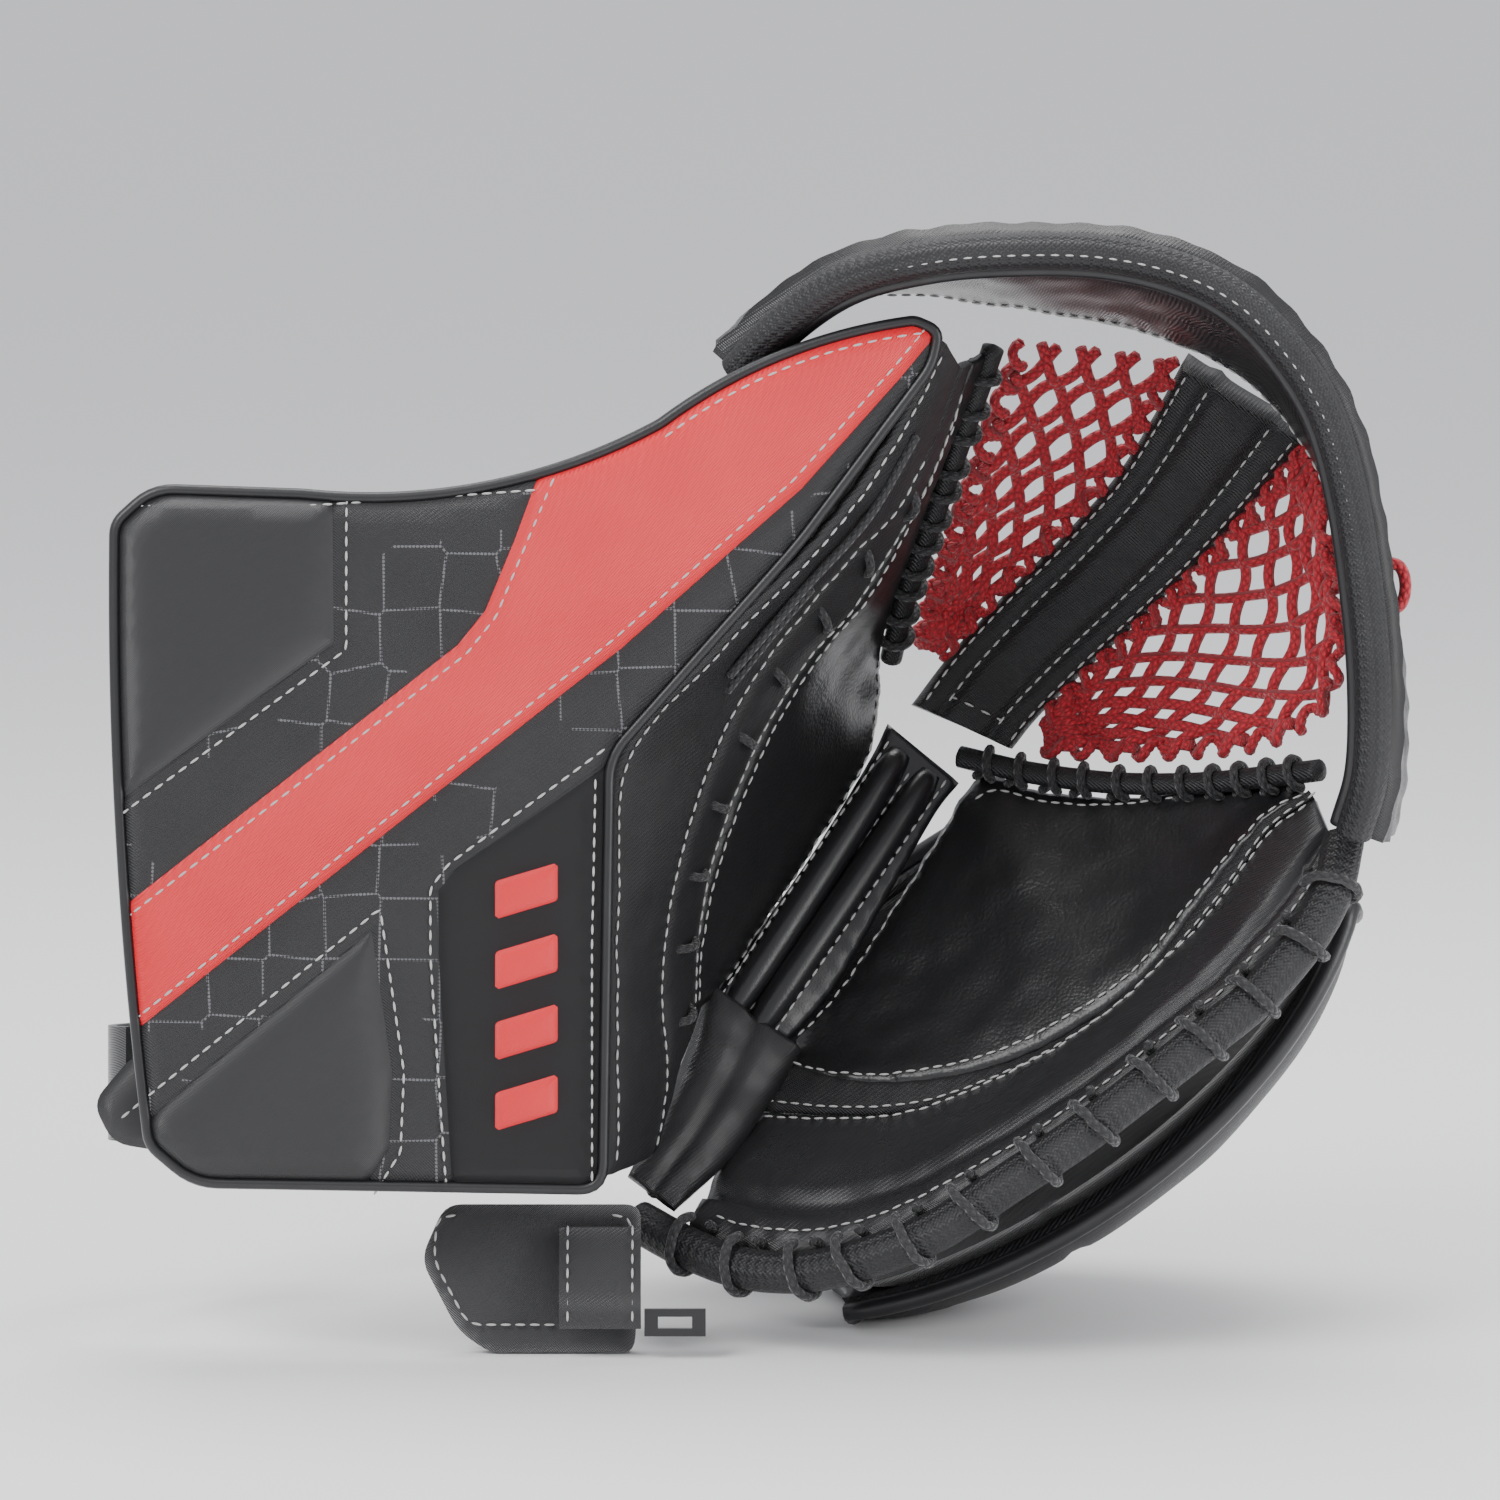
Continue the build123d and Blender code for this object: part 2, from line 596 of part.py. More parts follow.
WRIST_STRAP_PATH = [(58, -182), (66, -187), (92, -184), (124, -160), (140, -124)]
with BuildPart() as wrist_strap:
    with BuildSketch(Plane(origin=at(0, 0, 62), x_dir=(1, 0, 0), z_dir=UP_PALM)):
        with BuildLine():
            Spline(*[(x * WIDER, deep * DEEPER) for deep, x in WRIST_STRAP_PATH])
        trace(line_width=STRAP)
    extrude(amount=WRIST_STRAP_WIDTH)
wrist_strap.part.label = "wrist_strap"

made = [value for value in list(globals().values()) if isinstance(value, (Part, BuildPart))]
parts = [piece.part if isinstance(piece, BuildPart) else piece for piece in made] + rim_pads + rim_bindings
os.makedirs("parts", exist_ok=True)
for piece in parts:
    export_step(piece, f"parts/{piece.label}.step")
whole = Compound(children=parts).bounding_box()
print("overall", whole.min, whole.max)
print("break hinge", break_axis.origin, break_axis.z_dir)
print("heel strap hinge", at(-42, HEEL_STRAP_PATH[0][0], HEEL_STRAP_PATH[0][1]))
print("wrist strap hinge", at(WRIST_STRAP_PATH[0][1], WRIST_STRAP_PATH[0][0], 79), UP_PALM)
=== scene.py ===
"""Looks of the ice-hockey catch glove: cuff board, laced thumb wall, palm, padded rim, T strap, lace nets and pad."""

import math
import random

import bmesh
import bpy
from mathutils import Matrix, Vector, geometry, noise


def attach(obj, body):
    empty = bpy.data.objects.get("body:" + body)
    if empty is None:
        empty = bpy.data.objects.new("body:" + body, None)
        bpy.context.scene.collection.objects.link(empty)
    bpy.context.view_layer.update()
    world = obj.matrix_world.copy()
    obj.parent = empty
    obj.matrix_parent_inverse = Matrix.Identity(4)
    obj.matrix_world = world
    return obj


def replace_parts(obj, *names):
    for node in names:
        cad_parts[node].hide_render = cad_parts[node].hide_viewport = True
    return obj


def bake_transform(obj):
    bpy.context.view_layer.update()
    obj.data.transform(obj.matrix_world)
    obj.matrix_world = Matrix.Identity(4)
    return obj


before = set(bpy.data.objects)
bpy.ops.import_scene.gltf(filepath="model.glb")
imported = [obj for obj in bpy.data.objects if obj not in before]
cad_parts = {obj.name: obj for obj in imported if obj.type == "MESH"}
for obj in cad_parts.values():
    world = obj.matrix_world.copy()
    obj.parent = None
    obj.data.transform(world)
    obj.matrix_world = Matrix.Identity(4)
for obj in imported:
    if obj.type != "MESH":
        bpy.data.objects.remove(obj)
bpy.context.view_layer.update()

MM = 0.001
TILT = math.radians(8)
INTO = Vector((0, math.cos(TILT), -math.sin(TILT)))
UP = Vector((0, math.sin(TILT), math.cos(TILT)))
RIGHT = Vector((1, 0, 0))
FOOTPRINT = (3.2, 103.3, -6.0)
WELD_DISTANCE = 0.001 * MM


def at(x, deep, up):
    """A place in the palm frame, given in millimetres across, into the pocket and up the palm."""
    place = RIGHT * x + INTO * deep + UP * up
    return (place - Vector(FOOTPRINT)) * MM


BALL = at(95, 40, 205)
BREAK_HEEL = at(-31, 84, 51)
BREAK_TOP = at(54, 137, 176)


# ---------------------------------------------------------------- node helpers
class Nodes:
    """Adds nodes to a tree and links their inputs by name."""

    def __init__(self, tree):
        self.tree = tree

    def add(self, kind, inputs=None, **settings):
        node = self.tree.nodes.new(kind)
        for key, value in settings.items():
            setattr(node, key, value)
        for key, value in (inputs or {}).items():
            socket = node.inputs[key]
            if isinstance(value, bpy.types.NodeSocket):
                self.tree.links.new(value, socket)
            else:
                socket.default_value = value
        return node

    def math(self, operation, a, b=0.0):
        return self.add("ShaderNodeMath", {0: a, 1: b}, operation=operation).outputs[0]

    def mix(self, factor, a, b):
        node = self.tree.nodes.new("ShaderNodeMixRGB")
        for socket, value in zip(node.inputs, (factor, a, b)):
            if isinstance(value, bpy.types.NodeSocket):
                self.tree.links.new(value, socket)
            else:
                socket.default_value = value
        return node.outputs[0]


def shader_group(name, inputs, outputs):
    """An empty shader group with its named sockets, and its input and output nodes."""
    tree = bpy.data.node_groups.new(name, "ShaderNodeTree")
    for label, kind, value in inputs:
        socket = tree.interface.new_socket(label, in_out="INPUT", socket_type=kind)
        if value is not None:
            socket.default_value = value
    for label, kind in outputs:
        tree.interface.new_socket(label, in_out="OUTPUT", socket_type=kind)
    nodes = Nodes(tree)
    return tree, nodes, nodes.add("NodeGroupInput").outputs, nodes.add("NodeGroupOutput").inputs


def twill_group():
    """Fine diagonal ribs of coated twill over the surface, from Object coordinates."""
    tree, n, i, o = shader_group(
        "twill ribs",
        [
            ("Vector", "NodeSocketVector", None), ("Rib Width", "NodeSocketFloat", 0.9 * MM),
            ("Slope", "NodeSocketFloat", 1.0),
        ],
        [("Height", "NodeSocketFloat"), ("Worn", "NodeSocketFloat")],
    )
    split = n.add("ShaderNodeSeparateXYZ", {0: i["Vector"]}).outputs
    climb = n.math("MULTIPLY", split[2], i["Slope"])
    across = n.math("ADD", split[0], n.math("ADD", climb, n.math("MULTIPLY", split[1], 0.6)))
    turns = n.math("DIVIDE", across, i["Rib Width"])
    rib = n.math("SINE", n.math("MULTIPLY", turns, math.tau))
    weft = n.math("SUBTRACT", split[2], n.math("MULTIPLY", split[0], 0.7))
    cross = n.math("SINE", n.math("MULTIPLY", n.math("DIVIDE", weft, i["Rib Width"]), math.tau * 0.7))
    broken = n.math("MULTIPLY", cross, 0.35)
    tree.links.new(n.math("ADD", rib, broken), o["Height"])
    patchy = n.add("ShaderNodeTexNoise", {"Vector": i["Vector"], "Scale": 34.0, "Detail": 4.0})
    tree.links.new(patchy.outputs["Fac"], o["Worn"])
    return tree


def grain_group():
    """Pebbled leather grain with fine creases."""
    tree, n, i, o = shader_group(
        "leather grain",
        [("Vector", "NodeSocketVector", None), ("Scale", "NodeSocketFloat", 900.0)],
        [("Height", "NodeSocketFloat"), ("Worn", "NodeSocketFloat")],
    )
    cells = n.add("ShaderNodeTexVoronoi", {"Vector": i["Vector"], "Scale": i["Scale"]})
    creases = n.add("ShaderNodeTexNoise", {"Vector": i["Vector"], "Scale": 70.0, "Detail": 6.0, "Distortion": 0.6})
    pebbles = n.math("MULTIPLY", cells.outputs["Distance"], -0.7)
    tree.links.new(n.math("ADD", pebbles, n.math("MULTIPLY", creases.outputs["Fac"], 1.6)), o["Height"])
    tree.links.new(creases.outputs["Fac"], o["Worn"])
    return tree


def braid_group():
    """Strands plaited round a cord, on a UV map whose u goes round the cord and v along it in metres."""
    tree, n, i, o = shader_group(
        "cord braid",
        [
            ("UV", "NodeSocketVector", None), ("Pitch", "NodeSocketFloat", 3.2 * MM),
            ("Strands", "NodeSocketFloat", 4.0),
        ],
        [("Height", "NodeSocketFloat"), ("Hollow Shade", "NodeSocketFloat")],
    )
    split = n.add("ShaderNodeSeparateXYZ", {0: i["UV"]}).outputs
    around = n.math("MULTIPLY", split[0], i["Strands"])
    along = n.math("DIVIDE", split[1], i["Pitch"])
    left = n.math("ABSOLUTE", n.math("SINE", n.math("MULTIPLY", n.math("ADD", around, along), math.pi)))
    right = n.math("ABSOLUTE", n.math("SINE", n.math("MULTIPLY", n.math("SUBTRACT", around, along), math.pi)))
    plait = n.math("MULTIPLY", left, right)
    tree.links.new(plait, o["Height"])
    # The hollows between the strands are given out as painted shade, which darkens the cord's colour there.
    tree.links.new(n.math("SUBTRACT", 1.0, n.math("POWER", plait, 0.5)), o["Hollow Shade"])
    return tree


def weave_group():
    """Coarse basket weave of ballistic nylon."""
    tree, n, i, o = shader_group(
        "basket weave",
        [("UV", "NodeSocketVector", None), ("Thread", "NodeSocketFloat", 1.5 * MM)],
        [("Height", "NodeSocketFloat")],
    )
    split = n.add("ShaderNodeSeparateXYZ", {0: i["UV"]}).outputs
    u = n.math("MULTIPLY", n.math("DIVIDE", split[0], i["Thread"]), math.pi)
    v = n.math("MULTIPLY", n.math("DIVIDE", split[1], i["Thread"]), math.pi)
    warp = n.math("MULTIPLY", n.math("ABSOLUTE", n.math("SINE", u)), n.math("COSINE", v))
    weft = n.math("MULTIPLY", n.math("ABSOLUTE", n.math("SINE", v)), n.math("COSINE", u))
    tree.links.new(n.math("MAXIMUM", warp, n.math("MULTIPLY", weft, -1.0)), o["Height"])
    return tree


TWILL = twill_group()
GRAIN = grain_group()
BRAID = braid_group()
WEAVE = weave_group()


def material(name, roughness, sheen=0.0, coat=0.0):
    """A material with a Principled shader whose even values sit on its own sockets."""
    made = bpy.data.materials.new(name)
    made.use_nodes = True
    n = Nodes(made.node_tree)
    shader = made.node_tree.nodes["Principled BSDF"]
    shader.inputs["Roughness"].default_value = roughness
    shader.inputs["Sheen Weight"].default_value = sheen
    shader.inputs["Coat Weight"].default_value = coat
    shader.inputs["Coat Roughness"].default_value = 0.35
    return made, n, shader


def finish_surface(made, n, shader, height, distance, color, dark, wear_and_shade, rough):
    """Feeds the relief, the colour variation and the roughness variation to the shader. The colour mix mask is real
    wear in most materials, and painted shade in the hollows of a lace.
    """
    links = made.node_tree.links
    bump = n.add("ShaderNodeBump", {"Height": height, "Distance": distance, "Strength": 0.8})
    links.new(bump.outputs[0], shader.inputs["Normal"])
    links.new(n.mix(wear_and_shade, (*color, 1), (*dark, 1)), shader.inputs["Base Color"])
    spread = n.add("ShaderNodeMapRange", {"Value": wear_and_shade, "To Min": rough - 0.07, "To Max": rough + 0.1})
    links.new(spread.outputs[0], shader.inputs["Roughness"])


def twill(name, color, dark, roughness=0.5, rib=0.9, slope=1.0, relief=0.12, coat=0.0, sheen=0.0, hexes=False):
    made, n, shader = material(name, roughness, sheen=sheen, coat=coat)
    place = n.add("ShaderNodeTexCoord").outputs["Object"]
    ribs = n.add("ShaderNodeGroup", node_tree=TWILL)
    made.node_tree.links.new(place, ribs.inputs["Vector"])
    ribs.inputs["Rib Width"].default_value = rib * MM
    ribs.inputs["Slope"].default_value = slope
    wear_and_shade = ribs.outputs["Worn"]
    finish_surface(made, n, shader, ribs.outputs["Height"], relief * MM, color, dark, wear_and_shade, roughness)
    if hexes:
        add_hex_print(made, n, shader, place)
    return made


HEX_SIZE = 17 * MM


def add_hex_print(made, n, shader, place):
    """A faint printed honeycomb of dotted grey lines."""
    flat = n.add("ShaderNodeMapping", {"Vector": place, "Rotation": (math.pi / 2 + TILT, 0, 0)}).outputs[0]
    cells = n.add("ShaderNodeTexVoronoi", {"Vector": flat, "Scale": 1 / HEX_SIZE, "Randomness": 0.25})
    cells.voronoi_dimensions = "2D"
    cells.feature = "DISTANCE_TO_EDGE"
    line = n.math("LESS_THAN", cells.outputs["Distance"], 0.022)
    dots = n.add("ShaderNodeTexVoronoi", {"Vector": flat, "Scale": 1 / (1.1 * MM), "Randomness": 0.0})
    dots.voronoi_dimensions = "2D"
    dotted = n.math("MULTIPLY", line, n.math("LESS_THAN", dots.outputs["Distance"], 0.42))
    patchy = n.add("ShaderNodeTexNoise", {"Vector": flat, "Scale": 22.0, "Detail": 1.0}).outputs["Fac"]
    shown = n.math("MULTIPLY", dotted, n.math("GREATER_THAN", patchy, 0.47))
    base = shader.inputs["Base Color"].links[0].from_socket
    made.node_tree.links.new(n.mix(shown, base, (0.14, 0.14, 0.15, 1)), shader.inputs["Base Color"])


def leather(name, color, dark, roughness=0.36, scale=900.0, relief=0.16, coat=0.15):
    made, n, shader = material(name, roughness, coat=coat)
    place = n.add("ShaderNodeTexCoord").outputs["Object"]
    grain = n.add("ShaderNodeGroup", node_tree=GRAIN)
    made.node_tree.links.new(place, grain.inputs["Vector"])
    grain.inputs["Scale"].default_value = scale
    wear_and_shade = grain.outputs["Worn"]
    finish_surface(made, n, shader, grain.outputs["Height"], relief * MM, color, dark, wear_and_shade, roughness)
    return made


def lace(name, color, dark, pitch=3.0, strands=4.0, roughness=0.62):
    made, n, shader = material(name, roughness, sheen=0.25)
    uv = n.add("ShaderNodeTexCoord").outputs["UV"]
    braid = n.add("ShaderNodeGroup", node_tree=BRAID)
    made.node_tree.links.new(uv, braid.inputs["UV"])
    braid.inputs["Pitch"].default_value = pitch * MM
    braid.inputs["Strands"].default_value = strands
    # The colour darkens to the dark colour in the hollows between strands: painted shade.
    finish_surface(
        made, n, shader, braid.outputs["Height"], 0.5 * MM, color, dark, braid.outputs["Hollow Shade"], roughness
    )
    return made


def woven(name, color, dark, thread=1.5, roughness=0.5):
    made, n, shader = material(name, roughness)
    coords = n.add("ShaderNodeTexCoord").outputs
    weave = n.add("ShaderNodeGroup", node_tree=WEAVE)
    made.node_tree.links.new(coords["UV"], weave.inputs["UV"])
    weave.inputs["Thread"].default_value = thread * MM
    wear_and_shade = n.add("ShaderNodeTexNoise", {"Vector": coords["Object"], "Scale": 60.0, "Detail": 3.0}).outputs["Fac"]
    finish_surface(made, n, shader, weave.outputs["Height"], 0.35 * MM, color, dark, wear_and_shade, roughness)
    return made


BLACK = (0.012, 0.012, 0.013)
SOFT_BLACK = (0.022, 0.022, 0.024)
DEEP_BLACK = (0.006, 0.006, 0.007)
RED = (0.80, 0.022, 0.030)
DEEP_RED = (0.64, 0.012, 0.020)
LACE_RED = (0.52, 0.004, 0.018)
# Dark red painted shade, for the hollows of the red lace's braid.
LACE_HOLLOW_SHADE = (0.20, 0.001, 0.006)

TWILL_BLACK = twill("black twill", SOFT_BLACK, BLACK, 0.46)
TWILL_PRINT = twill("printed black twill", SOFT_BLACK, BLACK, 0.52, hexes=True)
TWILL_SMOOTH = twill("smooth black twill", (0.017, 0.017, 0.019), BLACK, 0.34, rib=0.6, relief=0.05, coat=0.1)
TWILL_SHINY = twill("shiny black twill", (0.03, 0.03, 0.032), BLACK, 0.27, rib=0.8, relief=0.08, coat=0.25)
STRIPE_RED = twill("red twill", RED, DEEP_RED, 0.44, rib=0.9, slope=-1.0, relief=0.1)
CREST_RED = twill("red raised twill", RED, DEEP_RED, 0.4, rib=0.7, relief=0.05)
CREST_GROUND = twill("ribbed panel", SOFT_BLACK, BLACK, 0.42, rib=1.1, slope=40.0, relief=0.1)
RIB_NYLON = twill("ribbed nylon", SOFT_BLACK, BLACK, 0.4, rib=1.1, slope=-0.9, relief=0.1)
PALM_LEATHER = leather("black palm leather", (0.014, 0.014, 0.015), DEEP_BLACK, 0.34)
SMOOTH_LEATHER = leather("smooth black leather", (0.016, 0.016, 0.018), DEEP_BLACK, 0.30, 1500.0, 0.06)
MESH_BINDING = woven("mesh binding", (0.02, 0.02, 0.022), DEEP_BLACK)
# The laces and the thread darken in the hollows of their braid: painted shade.
BLACK_LACE = lace("black lace", (0.016, 0.016, 0.018), DEEP_BLACK)
RED_LACE = lace("red lace", LACE_RED, LACE_HOLLOW_SHADE)
PIPING_EDGE = leather("piping", (0.02, 0.02, 0.022), DEEP_BLACK, 0.38, 1300.0, 0.05)
LINING = twill("brushed lining", (0.035, 0.035, 0.038), SOFT_BLACK, 0.85, rib=0.7, relief=0.1, sheen=0.5)
HOOK_PLASTIC = leather("moulded plastic", (0.02, 0.02, 0.022), BLACK, 0.4, 2400.0, 0.02)
THREAD = lace("white thread", (0.78, 0.78, 0.76), (0.45, 0.45, 0.44), pitch=0.8, strands=2.0, roughness=0.6)


# ---------------------------------------------------------------- mesh helpers
def mesh_object(name, verts, faces, mat, uvs=None, smooth=True):
    data = bpy.data.meshes.new(name)
    data.from_pydata([tuple(v) for v in verts], [], faces)
    data.materials.append(mat)
    if uvs:
        layer = data.uv_layers.new(name="UVMap")
        for loop in data.loops:
            layer.data[loop.index].uv = uvs[loop.vertex_index]
    data.shade_smooth() if smooth else data.shade_flat()
    obj = bpy.data.objects.new(name, data)
    bpy.context.collection.objects.link(obj)
    return obj


def placed(points):
    return [p if isinstance(p, Vector) else at(*p) for p in points]


def lengths(points):
    total = [0.0]
    for a, b in zip(points, points[1:]):
        total.append(total[-1] + (b - a).length)
    return total


def resampled(points, count, start=0.0, end=1.0):
    """Points spaced evenly along a run of points."""
    total = lengths(points)
    result, k = [], 0
    for i in range(count):
        want = total[-1] * (start + (end - start) * i / (count - 1))
        while k < len(points) - 2 and total[k + 1] < want:
            k += 1
        span = total[k + 1] - total[k]
        result.append(points[k].lerp(points[k + 1], (want - total[k]) / span if span else 0))
    return result


def smooth(points, count=64, start=0.0, end=1.0, closed=False):
    """A smooth run through places, evenly spaced."""
    p = placed(points)
    ends = [p[-1], *p, p[0], p[1]] if closed else [p[0] * 2 - p[1], *p, p[-1] * 2 - p[-2]]
    dense = []
    for a, b, c, d in zip(ends, ends[1:], ends[2:], ends[3:]):
        for step in range(16):
            t = step / 16
            dense.append(
                0.5 * (2 * b + (c - a) * t + (2 * a - 5 * b + 4 * c - d) * t * t + (3 * b - a - 3 * c + d) * t**3)
            )
    dense.append(ends[-2])
    return resampled(dense, count, start, end)


def tangents(points):
    return [
        (points[min(i + 1, len(points) - 1)] - points[max(i - 1, 0)]).normalized() for i in range(len(points))
    ]


def tube(name, points, radius, mat, sides=12, flat=1.0, hint=None, closed=False):
    """A round or flattened tube along points; radius may be a function of the share of the way along."""
    along, way = tangents(points), lengths(points)
    size = radius if callable(radius) else (lambda share: radius)
    side = (hint or INTO).cross(along[0]).normalized()
    verts, faces, uvs = [], [], []
    for i, (point, tangent) in enumerate(zip(points, along)):
        side = (side - tangent * side.dot(tangent)).normalized()
        other = tangent.cross(side)
        r = size(i / (len(points) - 1))
        for k in range(sides):
            turn = math.tau * k / sides
            verts.append(point + side * math.cos(turn) * r + other * math.sin(turn) * r * flat)
            uvs.append((k / sides, way[i]))
    rings = len(points)
    for i in range(rings if closed else rings - 1):
        for k in range(sides):
            j, m = (i + 1) % rings, (k + 1) % sides
            faces.append((i * sides + k, i * sides + m, j * sides + m, j * sides + k))
    if not closed:
        verts += [points[0] - along[0] * size(0) * 0.4, points[-1] + along[-1] * size(1) * 0.4]
        uvs += [(0, 0), (0, way[-1])]
        first, last = len(verts) - 2, len(verts) - 1
        for k in range(sides):
            faces.append((first, (k + 1) % sides, k))
            faces.append((last, (rings - 1) * sides + k, (rings - 1) * sides + (k + 1) % sides))
    return mesh_object(name, verts, faces, mat, uvs)


def joined(name, objects):
    """One object out of several meshes."""
    with bpy.context.temp_override(
        active_object=objects[0], object=objects[0], selected_objects=objects, selected_editable_objects=objects
    ):
        bpy.ops.object.join()
    objects[0].name = name
    return objects[0]


def weld(obj):
    """Joins doubled corners and turns every face outwards."""
    made = bmesh.new()
    made.from_mesh(obj.data)
    bmesh.ops.remove_doubles(made, verts=made.verts, dist=WELD_DISTANCE)
    bmesh.ops.recalc_face_normals(made, faces=made.faces)
    made.to_mesh(obj.data)
    made.free()
    return obj


def shell_faces(rows, columns):
    """Faces of two grids, one behind the other, joined by a wall round their border."""
    back = rows * columns
    faces = []
    for i in range(rows - 1):
        for j in range(columns - 1):
            q = (i * columns + j, i * columns + j + 1, (i + 1) * columns + j + 1, (i + 1) * columns + j)
            faces += [q, tuple(back + v for v in reversed(q))]
    border = list(range(columns)) + [i * columns + columns - 1 for i in range(1, rows)]
    border += [(rows - 1) * columns + j for j in range(columns - 2, -1, -1)]
    border += [i * columns for i in range(rows - 2, 0, -1)]
    return faces + [(q, p, back + p, back + q) for p, q in zip(border, border[1:] + border[:1])]


class Panel:
    """A soft sewn panel between two edges: filled between its seams, puckered beside them and given a wall."""

    def __init__(self, name, a, b, mat, along=72, across=14, fill=2.0, wall=2.5, pucker=0.25, seed=1, sag=0.0,
                 channels=()):
        a, b = smooth(a, along), smooth(b, along)
        self.near = []
        ta, tb = tangents(a), tangents(b)
        for i in range(along):
            s = i / (along - 1)
            row = []
            for j in range(across):
                t = j / (across - 1)
                place = a[i].lerp(b[i], t)
                normal = (b[i] - a[i]).cross(ta[i].lerp(tb[i], t)).normalized()
                if normal.dot(BALL - place) < 0:
                    normal.negate()
                edge = min(t, 1 - t) * (b[i] - a[i]).length / MM
                end = min(s, 1 - s) * (a[-1] - a[0]).length / MM
                plump = (1 - math.exp(-edge / 5)) * (1 - math.exp(-end / 6))
                for channel in channels:
                    plump -= 0.8 * math.exp(-(((t - channel) / 0.045) ** 2))
                folds = noise.noise(place * 95 + Vector((seed, 0, 0))) * 0.9 + noise.noise(place * 260) * 0.25
                ripple = math.sin(s * (a[-1] - a[0]).length / MM * 0.75 + seed) * pucker * math.exp(-edge / 4)
                lift = fill * plump - sag * math.sin(math.pi * t) + (folds * min(fill, 1.6) * 0.45 + ripple)
                row.append((place + normal * lift * MM, normal))
            self.near.append(row)
        self.along, self.across = along, across
        self.object = self.build(name, mat, wall * MM)

    def build(self, name, mat, wall):
        verts, uvs = [], []
        n, m = self.along, self.across
        long = (self.near[-1][m // 2][0] - self.near[0][m // 2][0]).length
        for layer in (0, 1):
            for i in range(n):
                run = 0.0
                for j in range(m):
                    place, normal = self.near[i][j]
                    if j:
                        run += (place - self.near[i][j - 1][0]).length
                    rounding = 0.35 * wall if layer == 0 and j in (0, m - 1) else 0
                    verts.append(place - normal * (wall * layer + rounding))
                    uvs.append((run, i * long / (n - 1)))
        return weld(mesh_object(name, verts, shell_faces(n, m), mat, uvs))

    def line(self, t, start=0.02, end=0.98, lift=0.35, count=90):
        """A run along the panel at a share of its width, just proud of its face."""
        j = t * (self.across - 1)
        k = min(int(j), self.across - 2)
        run = []
        for row in self.near:
            place = row[k][0].lerp(row[k + 1][0], j - k)
            run.append(place + row[k][1] * lift * MM)
        return resampled(run, count, start, end)

    def spot(self, s, t, lift=0.0):
        i = s * (self.along - 1)
        j = t * (self.across - 1)
        k, m = min(int(i), self.along - 2), min(int(j), self.across - 2)
        near = self.near[k][m][0].lerp(self.near[k][m + 1][0], j - m)
        far = self.near[k + 1][m][0].lerp(self.near[k + 1][m + 1][0], j - m)
        return near.lerp(far, i - k) + self.near[k][m][1] * lift * MM


# ---------------------------------------------------------------- stitching, by Geometry Nodes
def stitch_tree():
    """Threads of a running stitch laid end to end along curves, with a small gap between them."""
    tree = bpy.data.node_groups.new("running stitch", "GeometryNodeTree")
    for label, kind, value in (
        ("Geometry", "NodeSocketGeometry", None), ("Pitch", "NodeSocketFloat", 4.2 * MM),
        ("Length", "NodeSocketFloat", 3.1 * MM), ("Thickness", "NodeSocketFloat", 0.42 * MM),
        ("Material", "NodeSocketMaterial", None),
    ):
        socket = tree.interface.new_socket(label, in_out="INPUT", socket_type=kind)
        if value is not None:
            socket.default_value = value
    tree.interface.new_socket("Geometry", in_out="OUTPUT", socket_type="NodeSocketGeometry")
    n = Nodes(tree)
    given = n.add("NodeGroupInput").outputs
    points = n.add("GeometryNodeCurveToPoints", {"Curve": given["Geometry"], "Length": given["Pitch"]}, mode="LENGTH")
    thread = n.add("GeometryNodeMeshUVSphere", {"Segments": 8, "Rings": 6, "Radius": 0.5})
    size = n.add(
        "ShaderNodeCombineXYZ", {"X": given["Thickness"], "Y": given["Thickness"], "Z": given["Length"]}
    )
    turned = n.add(
        "FunctionNodeAlignEulerToVector", {"Vector": points.outputs["Tangent"]}, axis="Z"
    )
    laid = n.add(
        "GeometryNodeInstanceOnPoints",
        {
            "Points": points.outputs["Points"], "Instance": thread.outputs["Mesh"],
            "Rotation": turned.outputs[0], "Scale": size.outputs[0],
        },
    )
    real = n.add("GeometryNodeRealizeInstances", {"Geometry": laid.outputs[0]})
    shade = n.add("GeometryNodeSetShadeSmooth", {"Geometry": real.outputs[0]})
    dyed = n.add("GeometryNodeSetMaterial", {"Geometry": shade.outputs[0], "Material": given["Material"]})
    out = n.add("NodeGroupOutput")
    tree.links.new(dyed.outputs[0], out.inputs["Geometry"])
    return tree


STITCH_TREE = stitch_tree()


def stitched(name, runs, mat=THREAD, pitch=4.2, length=3.1, thickness=0.75):
    """Stitches along each run of points, as one plain mesh."""
    curve = bpy.data.curves.new(name, "CURVE")
    curve.dimensions = "3D"
    for run in runs:
        spline = curve.splines.new("POLY")
        spline.points.add(len(run) - 1)
        for point, place in zip(spline.points, run):
            point.co = (*place, 1)
    holder = bpy.data.objects.new(name + " path", curve)
    bpy.context.collection.objects.link(holder)
    modifier = holder.modifiers.new("stitches", "NODES")
    modifier.node_group = STITCH_TREE
    wanted = {"Pitch": pitch * MM, "Length": length * MM, "Thickness": thickness * MM, "Material": mat}
    for item in STITCH_TREE.interface.items_tree:
        if item.in_out == "INPUT" and item.name in wanted:
            modifier[item.identifier] = wanted[item.name]
    bpy.context.view_layer.update()
    made = bpy.data.meshes.new_from_object(holder.evaluated_get(bpy.context.evaluated_depsgraph_get()))
    bpy.data.objects.remove(holder)
    obj = bpy.data.objects.new(name, made)
    bpy.context.collection.objects.link(obj)
    return obj


def fold(obj):
    """Bakes a piece's transform into its mesh; the piece is not bent."""
    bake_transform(obj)
    return obj


def thumb(obj):
    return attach(obj, "thumb_side")


def finger(obj):
    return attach(obj, "finger_side")


# ---------------------------------------------------------------- camera, floor and light
VIEW_WIDTH = 0.4365
VIEW_DISTANCE = 2.4
SENSOR = 36.0


